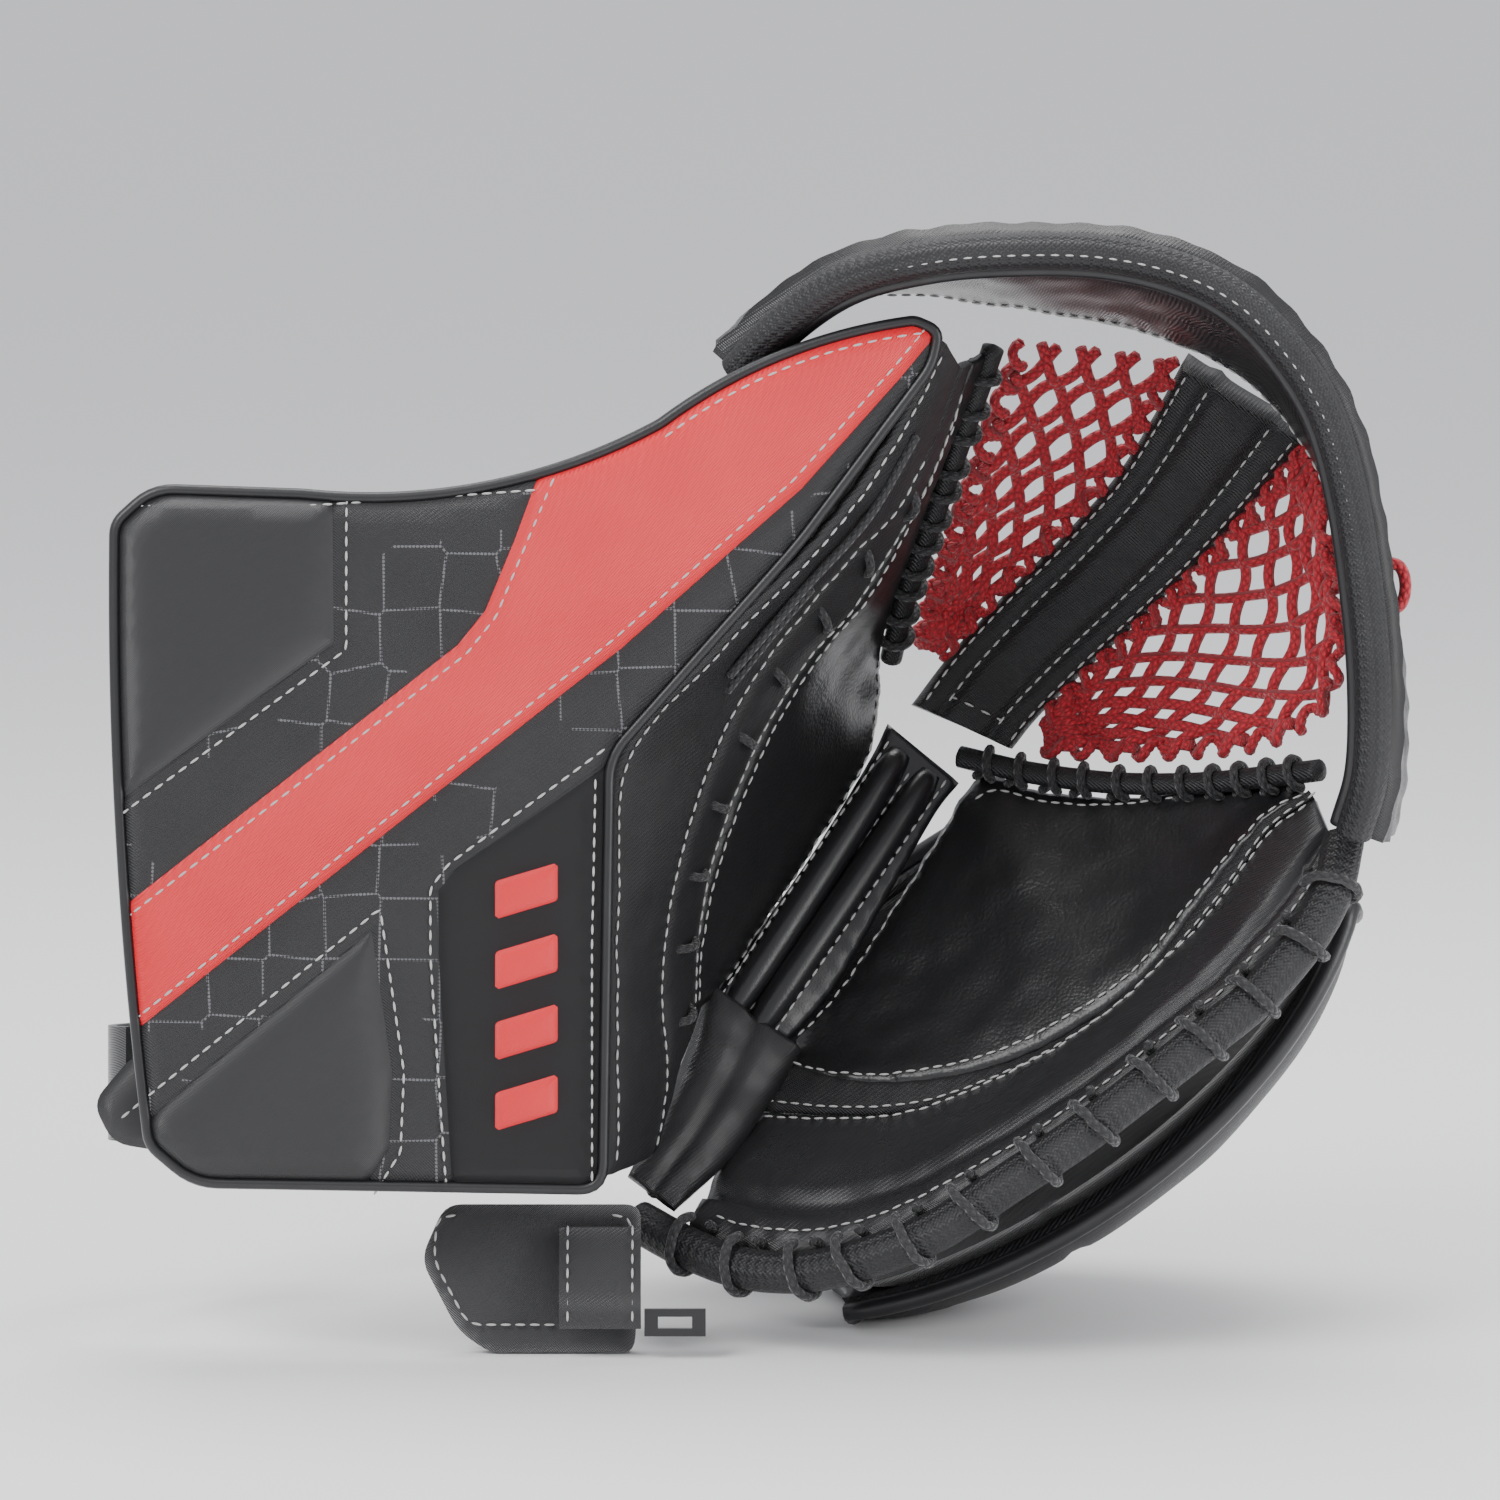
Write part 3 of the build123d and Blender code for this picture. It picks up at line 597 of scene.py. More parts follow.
def add_camera():
    data = bpy.data.cameras.new("camera")
    data.sensor_width = SENSOR
    data.lens = SENSOR * VIEW_DISTANCE / VIEW_WIDTH
    camera = bpy.data.objects.new("camera", data)
    bpy.context.collection.objects.link(camera)
    camera.location = at(2.0, 14, 178.0) - INTO * VIEW_DISTANCE
    camera.rotation_mode = "QUATERNION"
    camera.rotation_quaternion = INTO.to_track_quat("-Z", "Y")
    bpy.context.scene.camera = camera


def add_light(name, place, target, size, power):
    data = bpy.data.lights.new(name, "AREA")
    data.shape = "RECTANGLE"
    data.size, data.size_y, data.energy = size[0], size[1], power
    lamp = bpy.data.objects.new(name, data)
    bpy.context.collection.objects.link(lamp)
    lamp.location = place
    lamp.rotation_mode = "QUATERNION"
    lamp.rotation_quaternion = (Vector(target) - Vector(place)).to_track_quat("-Z", "Y")


def add_studio():
    world = bpy.data.worlds.new("studio")
    bpy.context.scene.world = world
    world.use_nodes = True
    back = world.node_tree.nodes["Background"]
    back.inputs[0].default_value = (0.95, 0.96, 1.0, 1)
    back.inputs[1].default_value = 0.85
    add_light("key", (-0.9, -0.9, 1.3), (0, 0, 0.17), (0.8, 0.8), 20)
    add_light("fill", (1.2, -0.7, 0.6), (0.05, 0, 0.15), (0.5, 1.0), 11)
    add_light("top", (0.1, 0.3, 1.3), (0.05, 0, 0.15), (1.0, 0.5), 12)
    size = 30.0
    verts = [(-size, -size, 0), (size, -size, 0), (size, size, 0), (-size, size, 0)]
    made, _, shader = material("floor", 0.9)
    shader.inputs["Base Color"].default_value = (0.93, 0.93, 0.93, 1)
    mesh_object("studio_floor", verts, [(0, 1, 2, 3)], made)


add_camera()
add_studio()


# ---------------------------------------------------------------- cuff and thumb board
BOARD_FRONT = 14.0
BOARD_BACK = 37.5
EDGE_R = 6.0
CROWN = 2.2


def arc(a, b, c, count=24):
    """Points of the arc through three flat places."""
    (ax, ay), (bx, by), (cx, cy) = a, b, c
    d = 2 * (ax * (by - cy) + bx * (cy - ay) + cx * (ay - by))
    ux = ((ax**2 + ay**2) * (by - cy) + (bx**2 + by**2) * (cy - ay) + (cx**2 + cy**2) * (ay - by)) / d
    uy = ((ax**2 + ay**2) * (cx - bx) + (bx**2 + by**2) * (ax - cx) + (cx**2 + cy**2) * (bx - ax)) / d
    r = math.hypot(ax - ux, ay - uy)
    turns = [math.atan2(y - uy, x - ux) for x, y in (a, b, c)]
    sweep = (turns[2] - turns[0]) % math.tau
    if (turns[1] - turns[0]) % math.tau > sweep:
        sweep -= math.tau
    return [
        (ux + r * math.cos(turns[0] + sweep * k / count), uy + r * math.sin(turns[0] + sweep * k / count))
        for k in range(count + 1)
    ]


def rounded(corners, radius, closed=True, steps=5):
    """A polygon with its corners rounded."""
    made = []
    count = len(corners)
    for i, corner in enumerate(corners):
        if not closed and i in (0, count - 1):
            made.append(corner)
            continue
        here = Vector(corner)
        before, after = Vector(corners[i - 1]), Vector(corners[(i + 1) % count])
        cut = min(radius, (before - here).length * 0.45, (after - here).length * 0.45)
        p, q = here + (before - here).normalized() * cut, here + (after - here).normalized() * cut
        for k in range(steps + 1):
            t = k / steps
            made.append(tuple((1 - t) ** 2 * p + 2 * t * (1 - t) * here + t * t * q))
    return made


def divided(points, step=1.6, closed=True):
    """Flat points with long runs divided."""
    made = []
    pairs = list(zip(points, points[1:] + points[:1])) if closed else list(zip(points, points[1:]))
    for a, b in pairs:
        parts = max(1, round(math.dist(a, b) / step))
        made += [(a[0] + (b[0] - a[0]) * k / parts, a[1] + (b[1] - a[1]) * k / parts) for k in range(parts)]
    if not closed:
        made.append(points[-1])
    return made


TOP_EDGE = [
    (-172, 254), *arc((-128, 252.5), (-76, 254.5), (-24, 273))[:-1], *arc((-24, 273), (14, 294), (50, 303)),
]
SLOPE_EDGE = [(57, 300), (55, 290), (16, 238), (-39, 176), (-41, 50)]
BOTTOM_EDGE = [(-160, 52), (-173, 63)]
SIDE_EDGE = arc((-173, 63), (-181, 150), (-183, 244))
BOARD = divided(rounded(TOP_EDGE + SLOPE_EDGE + BOTTOM_EDGE + SIDE_EDGE[1:], 7))


def edge_distance(x, y, outline):
    """How far a flat place is from the nearest edge of an outline."""
    best = 1e9
    for (ax, ay), (bx, by) in zip(outline, outline[1:] + outline[:1]):
        dx, dy = bx - ax, by - ay
        t = max(0.0, min(1.0, ((x - ax) * dx + (y - ay) * dy) / (dx * dx + dy * dy or 1)))
        best = min(best, (ax + t * dx - x) ** 2 + (ay + t * dy - y) ** 2)
    return math.sqrt(best)


def inside(x, y, outline):
    """Whether a flat place is inside an outline."""
    found = False
    for (ax, ay), (bx, by) in zip(outline, outline[1:] + outline[:1]):
        if (ay > y) != (by > y) and x < (bx - ax) * (y - ay) / (by - ay) + ax:
            found = not found
    return found


BOARD_COARSE = BOARD[::3]


def rounded_over(d):
    """How far a padded face falls away at a distance from the board's edge."""
    return EDGE_R - math.sqrt(max(0.0, EDGE_R**2 - (EDGE_R - min(d, EDGE_R)) ** 2))


def board_depth(x, up):
    """How deep the padded front of the board lies, rounded over at its edge."""
    d = edge_distance(x, up, BOARD_COARSE) if inside(x, up, BOARD_COARSE) else 0.0
    over = rounded_over(d)
    soft = noise.noise(Vector((x, up, 0)) / 45) * 0.5 * min(1, d / 20)
    return BOARD_FRONT + over - CROWN * (1 - math.exp(-d / 14)) - soft


def zone(name, outline, mat, raise_by=1.0, edge=3.0, spacing=4.0):
    """One sewn zone of the board's front, puffed up a little inside its seam."""
    outline = divided(outline)
    points = [Vector(p) for p in outline]
    count = len(points)
    xs, ys = [p[0] for p in outline], [p[1] for p in outline]
    inner = []
    for i, p in enumerate(points):
        way = (points[(i + 1) % count] - points[i - 1]).normalized()
        for inset in (0.7, 1.8, 3.6):
            for side in (1, -1):
                q = p + Vector((-way.y, way.x)) * inset * side
                if inside(q.x, q.y, outline) and edge_distance(q.x, q.y, outline) > inset * 0.85:
                    inner.append(q)
    for a in range(int(min(xs) / spacing) - 1, int(max(xs) / spacing) + 2):
        for b in range(int(min(ys) / spacing) - 1, int(max(ys) / spacing) + 2):
            x, y = (a + 0.5 * (b % 2)) * spacing, b * spacing
            if inside(x, y, outline) and edge_distance(x, y, outline) > 5:
                inner.append(Vector((x, y)))
    made = geometry.delaunay_2d_cdt(points + inner, [], [list(range(count))], 1, 1e-5)
    verts, faces = made[0], made[2]
    places = []
    for v in verts:
        d = edge_distance(v.x, v.y, outline)
        puff = raise_by * (1 - math.exp(-d / edge)) - 0.5 * math.exp(-d / 1.2)
        places.append(at(v.x, board_depth(v.x, v.y) - puff, v.y))
    faces = [tuple(reversed(f)) if flat_turn(verts, f) < 0 else tuple(f) for f in faces]
    return mesh_object(name, places, faces, mat)


def flat_turn(verts, face):
    """Which way a flat face turns: above zero for to the left."""
    a, b, c = (verts[k] for k in face[:3])
    return (b.x - a.x) * (c.y - a.y) - (b.y - a.y) * (c.x - a.x)


UPPER_SEAM = [(-119, 253), (-119, 209), (-182, 163)]
STRIPE_TOP = [(-181, 132.5), (-83, 208.5), (-75, 218.5), (-66.5, 239), (-59, 257)]
STRIPE_BOTTOM = [(-176, 96), (-53, 194), (-35.5, 207.5), (-13, 227.5), (17, 254), (45.5, 286), (56.5, 299.5)]
LOWER_SEAM = [(-178, 69), (-108, 125.5), (-102, 84), (-103, 62), (-110, 51)]
CREST_SEAM = [(-84, 50.5), (-88.5, 118), (-88.5, 137), (-84, 143), (-40, 175.5)]


def edge_between(first, last):
    """The stretch of the board's outline, in its own order, between the points nearest two places."""
    near = lambda p: min(range(len(BOARD)), key=lambda k: math.dist(BOARD[k], p))
    i, j = near(first), near(last)
    return BOARD[i : j + 1] if i <= j else BOARD[i:] + BOARD[: j + 1]


def board_zones():
    """The six sewn zones that cover the front of the board."""
    upper = edge_between((-182, 163), (-119, 253)) + UPPER_SEAM[1:-1]
    band_top = edge_between((-119, 253), (-59, 257)) + STRIPE_TOP[-2:0:-1] + edge_between((-181, 132.5), (-182, 163))
    band_top += UPPER_SEAM[-2:0:-1]
    stripe = edge_between((-59, 257), (56.5, 299.5)) + STRIPE_BOTTOM[-2:0:-1]
    stripe += edge_between((-176, 96), (-181, 132.5)) + STRIPE_TOP[1:-1]
    band_low = edge_between((56.5, 299.5), (-40, 175.5)) + CREST_SEAM[-2:0:-1] + edge_between((-84, 50.5), (-110, 51))
    band_low += LOWER_SEAM[-2:0:-1] + edge_between((-178, 69), (-176, 96)) + STRIPE_BOTTOM[1:-1]
    lower = edge_between((-110, 51), (-178, 69)) + LOWER_SEAM[1:-1]
    crest = edge_between((-40, 175.5), (-84, 50.5)) + CREST_SEAM[1:-1]
    pieces = [
        (zone("upper_cuff_patch", upper, TWILL_SMOOTH, 1.6, 4.0), "upper_patch"),
        (zone("upper_band", band_top, TWILL_PRINT, 0.6), None),
        (zone("red_stripe", stripe, STRIPE_RED, 1.0), "thumb_stripe"),
        (zone("lower_band", band_low, TWILL_PRINT, 0.6), None),
        (zone("lower_cuff_patch", lower, TWILL_SMOOTH, 1.6, 4.0), "lower_patch"),
        (zone("crest_panel_cover", crest, CREST_GROUND, 0.9), "crest_panel"),
    ]
    for obj, node in pieces:
        thumb(obj)
        if node:
            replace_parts(obj, node)
    return pieces


def lifted(run, lift=0.5, closed=False, count=None):
    """A run of flat places laid on the board's front."""
    points = [at(x, board_depth(x, up) - lift, up) for x, up in divided(run, 3.0, closed)]
    return resampled(points, count or max(8, int(lengths(points)[-1] / (2 * MM))))


def shifted(run, by):
    """A flat run moved sideways, to its left where by is positive."""
    made = []
    for i, p in enumerate(run):
        before, after = Vector(run[max(i - 1, 0)]), Vector(run[min(i + 1, len(run) - 1)])
        here = Vector(p)
        ways = [w.normalized() for w in (here - before, after - here) if w.length > 0]
        way = sum(ways, Vector((0, 0))).normalized()
        share = max(0.5, way.dot(ways[0]))
        made.append(tuple(here + Vector((-way.y, way.x)) * by / share))
    return made


def board_sides():
    """The padded board's walls and back."""
    steps = 7
    verts, faces = [], []
    count = len(BOARD)
    for k in range(steps):
        deep = BOARD_FRONT + EDGE_R + (BOARD_BACK - 2 * EDGE_R - BOARD_FRONT) * k / (steps - 1)
        bulge = 0.8 * math.sin(math.pi * k / (steps - 1))
        for i, p in enumerate(BOARD):
            a, b = Vector(BOARD[i - 1]), Vector(BOARD[(i + 1) % count])
            way = (b - a).normalized()
            out = Vector((-way.y, way.x))
            verts.append(at(p[0] + out.x * bulge, deep, p[1] + out.y * bulge))
    for k in range(steps - 1):
        for i in range(count):
            j = (i + 1) % count
            faces.append((k * count + i, k * count + j, (k + 1) * count + j, (k + 1) * count + i))
    wall = mesh_object("board_side_wall", verts, faces, TWILL_SMOOTH)
    flat = geometry.delaunay_2d_cdt(
        [Vector(p) for p in BOARD]
        + [Vector((a * 7 + 3 * (b % 2), b * 7)) for a in range(-28, 10) for b in range(6, 45)
           if inside(a * 7 + 3 * (b % 2), b * 7, BOARD) and edge_distance(a * 7 + 3 * (b % 2), b * 7, BOARD) > 2],
        [], [list(range(count))], 1, 1e-5,
    )
    places = []
    for v in flat[0]:
        over = rounded_over(edge_distance(v.x, v.y, BOARD_COARSE))
        places.append(at(v.x, BOARD_BACK - over + 0.8 * noise.noise(Vector((v.x, v.y, 3)) / 40), v.y))
    rear = mesh_object(
        "board_back", places,
        [tuple(f) if flat_turn(flat[0], f) < 0 else tuple(reversed(f)) for f in flat[2]], LINING,
    )
    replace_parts(thumb(wall), "cuff_gusset", "cuff_front_foam", "cuff_stiffener", "cuff_back_foam")
    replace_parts(thumb(rear), "cuff_lining")
    front_edge = [at(x, BOARD_FRONT + EDGE_R * 0.42, up) for x, up in BOARD]
    rear_edge = [at(x, BOARD_BACK - EDGE_R * 0.8, up) for x, up in BOARD]
    piping = joined(
        "board_piping",
        [tube("front piping", front_edge, 1.7 * MM, PIPING_EDGE, 10, closed=True),
         tube("rear piping", rear_edge, 1.5 * MM, PIPING_EDGE, 10, closed=True)],
    )
    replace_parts(thumb(piping), "cuff_piping")


def board_stitches():
    runs = [
        lifted(shifted(UPPER_SEAM, 3.6)), lifted(shifted(STRIPE_TOP, -3.6)), lifted(shifted(STRIPE_BOTTOM, 3.4)),
        lifted(shifted(LOWER_SEAM, 3.4)), lifted(shifted(CREST_SEAM, 2.4)),
        lifted([(-44, 54), (-44, 120), (-43, 168)]), lifted([(-178, 249), (-128, 249), (-62, 253.5)], 0.3),
        lifted(shifted(arc((-24, 273), (14, 294), (50, 303)), -4.0), 0.5),
    ]
    thumb(stitched("board_stitches", runs))


def raised_bars():
    """Plain slanted bars moulded into the crest panel."""
    bars = []
    for k in range(4):
        low = 66 + 20.5 * k
        bars.append(rounded([(-73, low), (-53, low + 6), (-53, low + 19), (-73, low + 13)], 2))
    made = [zone("bar", bar, CREST_RED, 1.9, 0.9, 5.0) for bar in bars]
    thumb(joined("crest_bars", made))


def build_board():
    cover = board_zones()
    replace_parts(cover[1][0], "cuff_cover")
    board_sides()
    board_stitches()
    raised_bars()


build_board()

# ---------------------------------------------------------------- the wall between the board and the pocket
THUMB_SEAM = [
    (59, 20, 297), (45, 18, 271), (22, 18, 239), (-9, 18, 207), (-36, 18, 176), (-38.5, 18, 135), (-39, 18, 95),
    (-38.5, 18, 54),
]
FACING_SEAM = [
    (64, 36, 290), (49, 40, 254), (33, 44, 236), (18, 46, 219), (4, 47, 200), (-7, 47, 178), (-16, 47, 152),
    (-22, 47, 128), (-24, 49, 104), (-22, 53, 84), (-26, 60, 58),
]
PALM_SEAM = [
    (68, 48, 292), (53, 58, 254), (36, 64, 224), (21, 68, 207), (7, 72, 186), (-2, 74, 167), (-10, 75, 143),
    (-14, 77, 120), (-14, 84, 100),
]
THUMB_BACK = [
    (73, 56, 295), (63, 68, 272), (53, 88, 246), (46, 110, 225), (42, 126, 207), (42, 132, 192), (38, 133, 174),
    (22, 124, 148), (6, 113, 125), (-8, 101, 105),
]
BREAK_THUMB = [(44, 133, 186), (38, 133, 174), (22, 124, 148), (6, 113, 125), (-8, 101, 105)]
BREAK_FINGER = [(66, 133, 168), (58, 130, 158), (42, 122, 130), (28, 113, 106), (14, 104, 90)]
PALM_RIM = [
    (168, 62, 166), (155, 64, 158), (142, 66, 142), (118, 66, 110), (95, 68, 93), (71, 73, 83), (45.5, 80, 79),
    (28, 87, 80), (13, 97, 84),
]
PALM_BREAK = [
    (162, 78, 170), (139, 96, 167), (113, 112, 164), (90, 124, 166), (72, 131, 170), (58, 130, 150), (42, 122, 125),
    (28, 113, 104), (15, 104, 90),
]
FACING_RIM = [
    (169, 60, 164), (156, 62, 154), (145, 62, 138), (131, 62, 121), (109, 62, 100), (84, 66, 84), (61, 71, 74),
    (45.5, 75, 70), (26, 83, 69), (2, 94, 70),
]
FACING_FRONT = [
    (174, 46, 150), (168, 37, 134), (156, 30, 119), (141, 26, 103), (124, 23, 90), (105, 21, 75), (85, 21, 61),
    (64, 23, 48.5), (46, 28, 38.5), (28, 36, 32), (12, 43, 30.5), (-2, 51, 32), (-16, 60, 38),
]
FINGER_EDGE = [
    (177, 46, 151), (173, 35, 137), (165, 28, 123), (151, 23, 107), (135, 20, 94), (117, 18, 80), (98, 17, 65.5),
    (77, 18, 51.5), (58, 21, 38.5), (42, 25, 31.5), (25, 32, 26), (10.5, 39, 24.5), (-3, 47, 26), (-17, 56, 31),
    (-31, 66, 38),
]


def laced_through(name, panel, t_low, t_high, count, start=0.05, end=0.92, r=1.35):
    """A black lace that runs in and out of a panel in long slanted stitches."""
    pieces = []
    for k in range(count):
        s = start + (end - start) * k / count
        e = s + (end - start) / count * 0.68
        a, b = panel.spot(s, t_low, -1.2), panel.spot(e, t_high, -1.2)
        m, q = panel.spot(s * 0.7 + e * 0.3, t_low * 0.7 + t_high * 0.3, 1.5), panel.spot(
            s * 0.3 + e * 0.7, t_low * 0.3 + t_high * 0.7, 1.5
        )
        pieces.append(tube(f"{name} {k}", smooth([a, m, q, b], 14), r * MM, BLACK_LACE, 8))
    return joined(name, pieces)


def build_thumb_wall():
    facing = Panel("thumb_wall", THUMB_SEAM, FACING_SEAM, TWILL_BLACK, 90, 16, fill=2.2, wall=2.6, seed=3)
    welt = Panel("thumb_welt_strip", FACING_SEAM, PALM_SEAM, TWILL_BLACK, 84, 12, fill=1.2, wall=2.6, seed=8)
    leather_wall = Panel("thumb_leather", PALM_SEAM, THUMB_BACK, PALM_LEATHER, 84, 20, fill=1.6, wall=2.2, seed=5,
                         pucker=0.35)
    for panel, node in ((facing, "thumb_facing"), (welt, "thumb_welt"), (leather_wall, "thumb_palm")):
        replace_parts(thumb(panel.object), node)
    thumb(stitched("thumb_wall_stitches", [
        facing.line(0.07), facing.line(0.92, 0.12), welt.line(0.9, 0.05), leather_wall.line(0.06, 0.08),
        leather_wall.line(0.93, 0.5, 0.97),
    ]))
    laces = [laced_through("wall lace", welt, 0.25, 0.75, 9, 0.16, 0.97)]
    run = [
        facing.spot(0.1, 0.3, 1), facing.spot(0.2, 0.36, 1.6), facing.spot(0.3, 0.3, 1.5), facing.spot(0.43, 0.42, 1),
    ]
    laces.append(tube("loose lace", smooth(run, 30), 1.3 * MM, BLACK_LACE, 8))
    run = [facing.spot(0.3, 0.52, 0.4), facing.spot(0.36, 0.5, 1.5), facing.spot(0.45, 0.6, 0.2)]
    laces.append(tube("second lace", smooth(run, 20), 1.3 * MM, BLACK_LACE, 8))
    thumb(joined("wall_lacing", laces))


def whip(name, path, around, turns, r=1.5, start=0.03, end=0.97, slant=0.35, open_side=False, seed=4):
    """Slanted turns of lace whipped round a bound edge, each drawn tight."""
    draw = random.Random(seed)
    edge = resampled(path, 400)
    ways = tangents(edge)
    loops = []
    for k in range(turns):
        middle = start + (end - start) * (k + 0.5 + draw.uniform(-0.12, 0.12)) / turns
        points = []
        reach = (end - start) / turns * slant
        for step in range(19):
            turn = math.tau * (step / 18)
            share = middle + reach * (step / 18 - 0.5) * (1 + draw.uniform(-0.05, 0.05))
            i = max(0, min(399, int(share * 399)))
            side = INTO.cross(ways[i]).normalized()
            deep = ways[i].cross(side)
            reach_r = around + r * 0.8 + (1.2 if open_side and math.cos(turn) > 0.3 else 0)
            points.append(edge[i] + (side * math.cos(turn) + deep * math.sin(turn)) * reach_r * MM)
        loops.append(tube(f"{name} {k}", smooth(points, 34), r * MM, BLACK_LACE, 8))
    return joined(name, loops)


def build_palm():
    palm = Panel("palm_leather_face", PALM_RIM, PALM_BREAK, PALM_LEATHER, 84, 34, fill=1.5, wall=2.4, pucker=0.4,
                 seed=2, sag=3.0)
    strip = Panel("palm_edge_strip", PALM_RIM, FACING_RIM, TWILL_BLACK, 84, 8, fill=0.6, wall=2.0, seed=9)
    facing = Panel("finger_facing_pad", FACING_RIM, FACING_FRONT, TWILL_SHINY, 110, 20, fill=4.2, wall=2.6,
                   pucker=0.5, seed=6, channels=(0.72,))
    for panel, nodes, fill in (
        (palm, ("palm_leather", "palm_foam", "palm_liner"), 0.5), (strip, ("palm_welt",), 0.3),
        (facing, ("finger_facing",), 0.7),
    ):
        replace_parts(finger(panel.object), *nodes)
    edge = smooth(FINGER_EDGE, 160)
    binding = tube("finger_edge_binding", edge, 6.2 * MM, MESH_BINDING, 20)
    rescale_uv(binding, 39 * MM)
    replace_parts(finger(binding), "finger_binding")
    behind = [p + INTO * 13.5 * MM + (p - BALL).normalized() * 1.0 * MM for p in edge]
    roll = tube("finger_edge_roll", behind, 6.3 * MM, RIB_NYLON, 20)
    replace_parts(finger(roll), "finger_roll")
    lacing = whip("finger_edge_lacing", edge, 6.4, 13, 1.5, open_side=True)
    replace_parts(finger(lacing), "finger_lacing")
    top = smooth(
        [(66, 131, 176), (88, 122, 171), (113, 110, 168), (137, 94, 168), (156, 77, 170), (171, 62, 172)], 80
    )
    top_roll = tube("palm_top_roll", top, 3.4 * MM, TWILL_BLACK, 14)
    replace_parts(finger(top_roll), "palm_top_binding")
    top_lacing = whip("palm_top_whip", top, 3.4, 11, 1.4, slant=0.5, seed=12)
    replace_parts(finger(top_lacing), "palm_top_lacing")
    finger(stitched("palm_stitches", [
        palm.line(0.05, 0.02, 0.98), palm.line(0.93, 0.02, 0.52), strip.line(0.8, 0.0, 1.0), facing.line(0.08),
        facing.line(0.9, 0.02, 0.96), palm.line(0.97, 0.58, 0.98),
    ]))


def rescale_uv(obj, around):
    """Gives a tube's UV map its real width, so that a weave on it has square threads."""
    for item in obj.data.uv_layers[0].data:
        item.uv[0] *= around


def build_break():
    """The leather channel of the break, with its rolls, and the shiny neck at the heel."""
    floor = Panel("break_channel", BREAK_THUMB, BREAK_FINGER, SMOOTH_LEATHER, 60, 13, fill=0.6, wall=2.0, seed=11)
    fold(floor.object)
    axis = BREAK_TOP - BREAK_HEEL
    side = axis.cross(INTO).normalized()
    runs = []
    for sign, body, node in ((-1, thumb, "break_roll_thumb"), (1, finger, "break_roll_finger")):
        offset = side * -sign * 5.6 * MM
        points = [
            BREAK_HEEL + axis * share + offset * (0.75 + 0.25 * share)
            - INTO * (1.5 + 1.5 * math.sin(math.pi * share)) * MM
            for share in [0.36 + 0.62 * k / 29 for k in range(30)]
        ]
        roll = tube(node + "_cover", points, lambda s: (5.4 - 1.6 * (2 * s - 1) ** 6) * MM, SMOOTH_LEATHER, 18)
        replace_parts(body(roll), node)
        runs.append((body, [p + offset.normalized() * 5.0 * MM - INTO * 2.6 * MM for p in points]))
    for body, run in runs:
        body(stitched("break_stitches", [run]))
    middle = [BREAK_HEEL + axis * (0.4 + 0.55 * k / 29) - INTO * 3.0 * MM for k in range(30)]
    fold(stitched("break_middle_stitches", [middle]))
    neck = Panel(
        "heel_neck_strip",
        [(-10, 96, 108), (-16, 88, 90), (-24, 76, 72), (-34, 64, 52)],
        [(18, 98, 88), (8, 88, 72), (-4, 74, 56), (-20, 62, 42)],
        TWILL_SHINY, 40, 14, fill=4.0, wall=2.4, seed=14, channels=(0.5,),
    )
    fold(neck.object)
    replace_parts(neck.object, "heel_neck")


build_thumb_wall()
build_palm()
build_break()


# ---------------------------------------------------------------- rim, strap between the nets, and nets
RIM_FRONT = [
    (-2, 34, 289), (13, 22, 304), (31, 11, 315), (54, 5, 320.5), (77, 4, 322.5), (103.5, 4, 322), (126.5, 4, 317),
    (144, 4, 308), (158, 4, 293.5), (169, 4, 275.5), (176, 4, 251), (180.5, 4, 222), (182.5, 4, 196), (182, 8, 171),
    (178, 18, 154),
]
RIM_BACK = [
    (4, 64, 299), (20, 58, 308), (42, 60, 314), (74.5, 62, 310), (100, 66, 306), (124, 70, 300), (148, 72, 289),
    (166, 72, 271), (178, 72, 246), (185, 70, 221), (188, 68, 196), (188, 64, 172), (184, 54, 155),
]
STRAP_LEFT = [
    (52, 124, 192), (62, 125, 206), (77, 122, 223), (95, 112, 241), (111, 100, 259), (121, 89, 275), (130, 74, 292),
]
STRAP_RIGHT = [
    (82, 126, 178), (90, 125, 188), (104, 120, 202), (123, 110, 220), (139, 99, 236), (154, 87, 253), (167, 73, 269),
]
NET_THUMB_EDGE = [(54, 131, 210), (59, 115, 230), (67, 95, 252), (75, 77, 276), (83, 66, 298)]
NET_FINGER_EDGE = [
    (92, 124, 179), (115, 114, 178), (139, 98, 179), (158, 81, 182), (173, 67, 193), (177, 66, 216), (172, 68, 248),
]
THUMB_EDGE = [(74, 56, 297), (66, 67, 274), (57, 87, 248), (49.5, 109, 226), (45, 128, 206)]


def fold_at(obj, x, deep, up, across_x, across_up, reach):
    """Bakes a piece's transform into its mesh; the piece is not bent."""
    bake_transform(obj)
    return obj


def rim_piece(obj):
    return fold_at(obj, 118, 90, 244, -0.78, 0.63, 62)


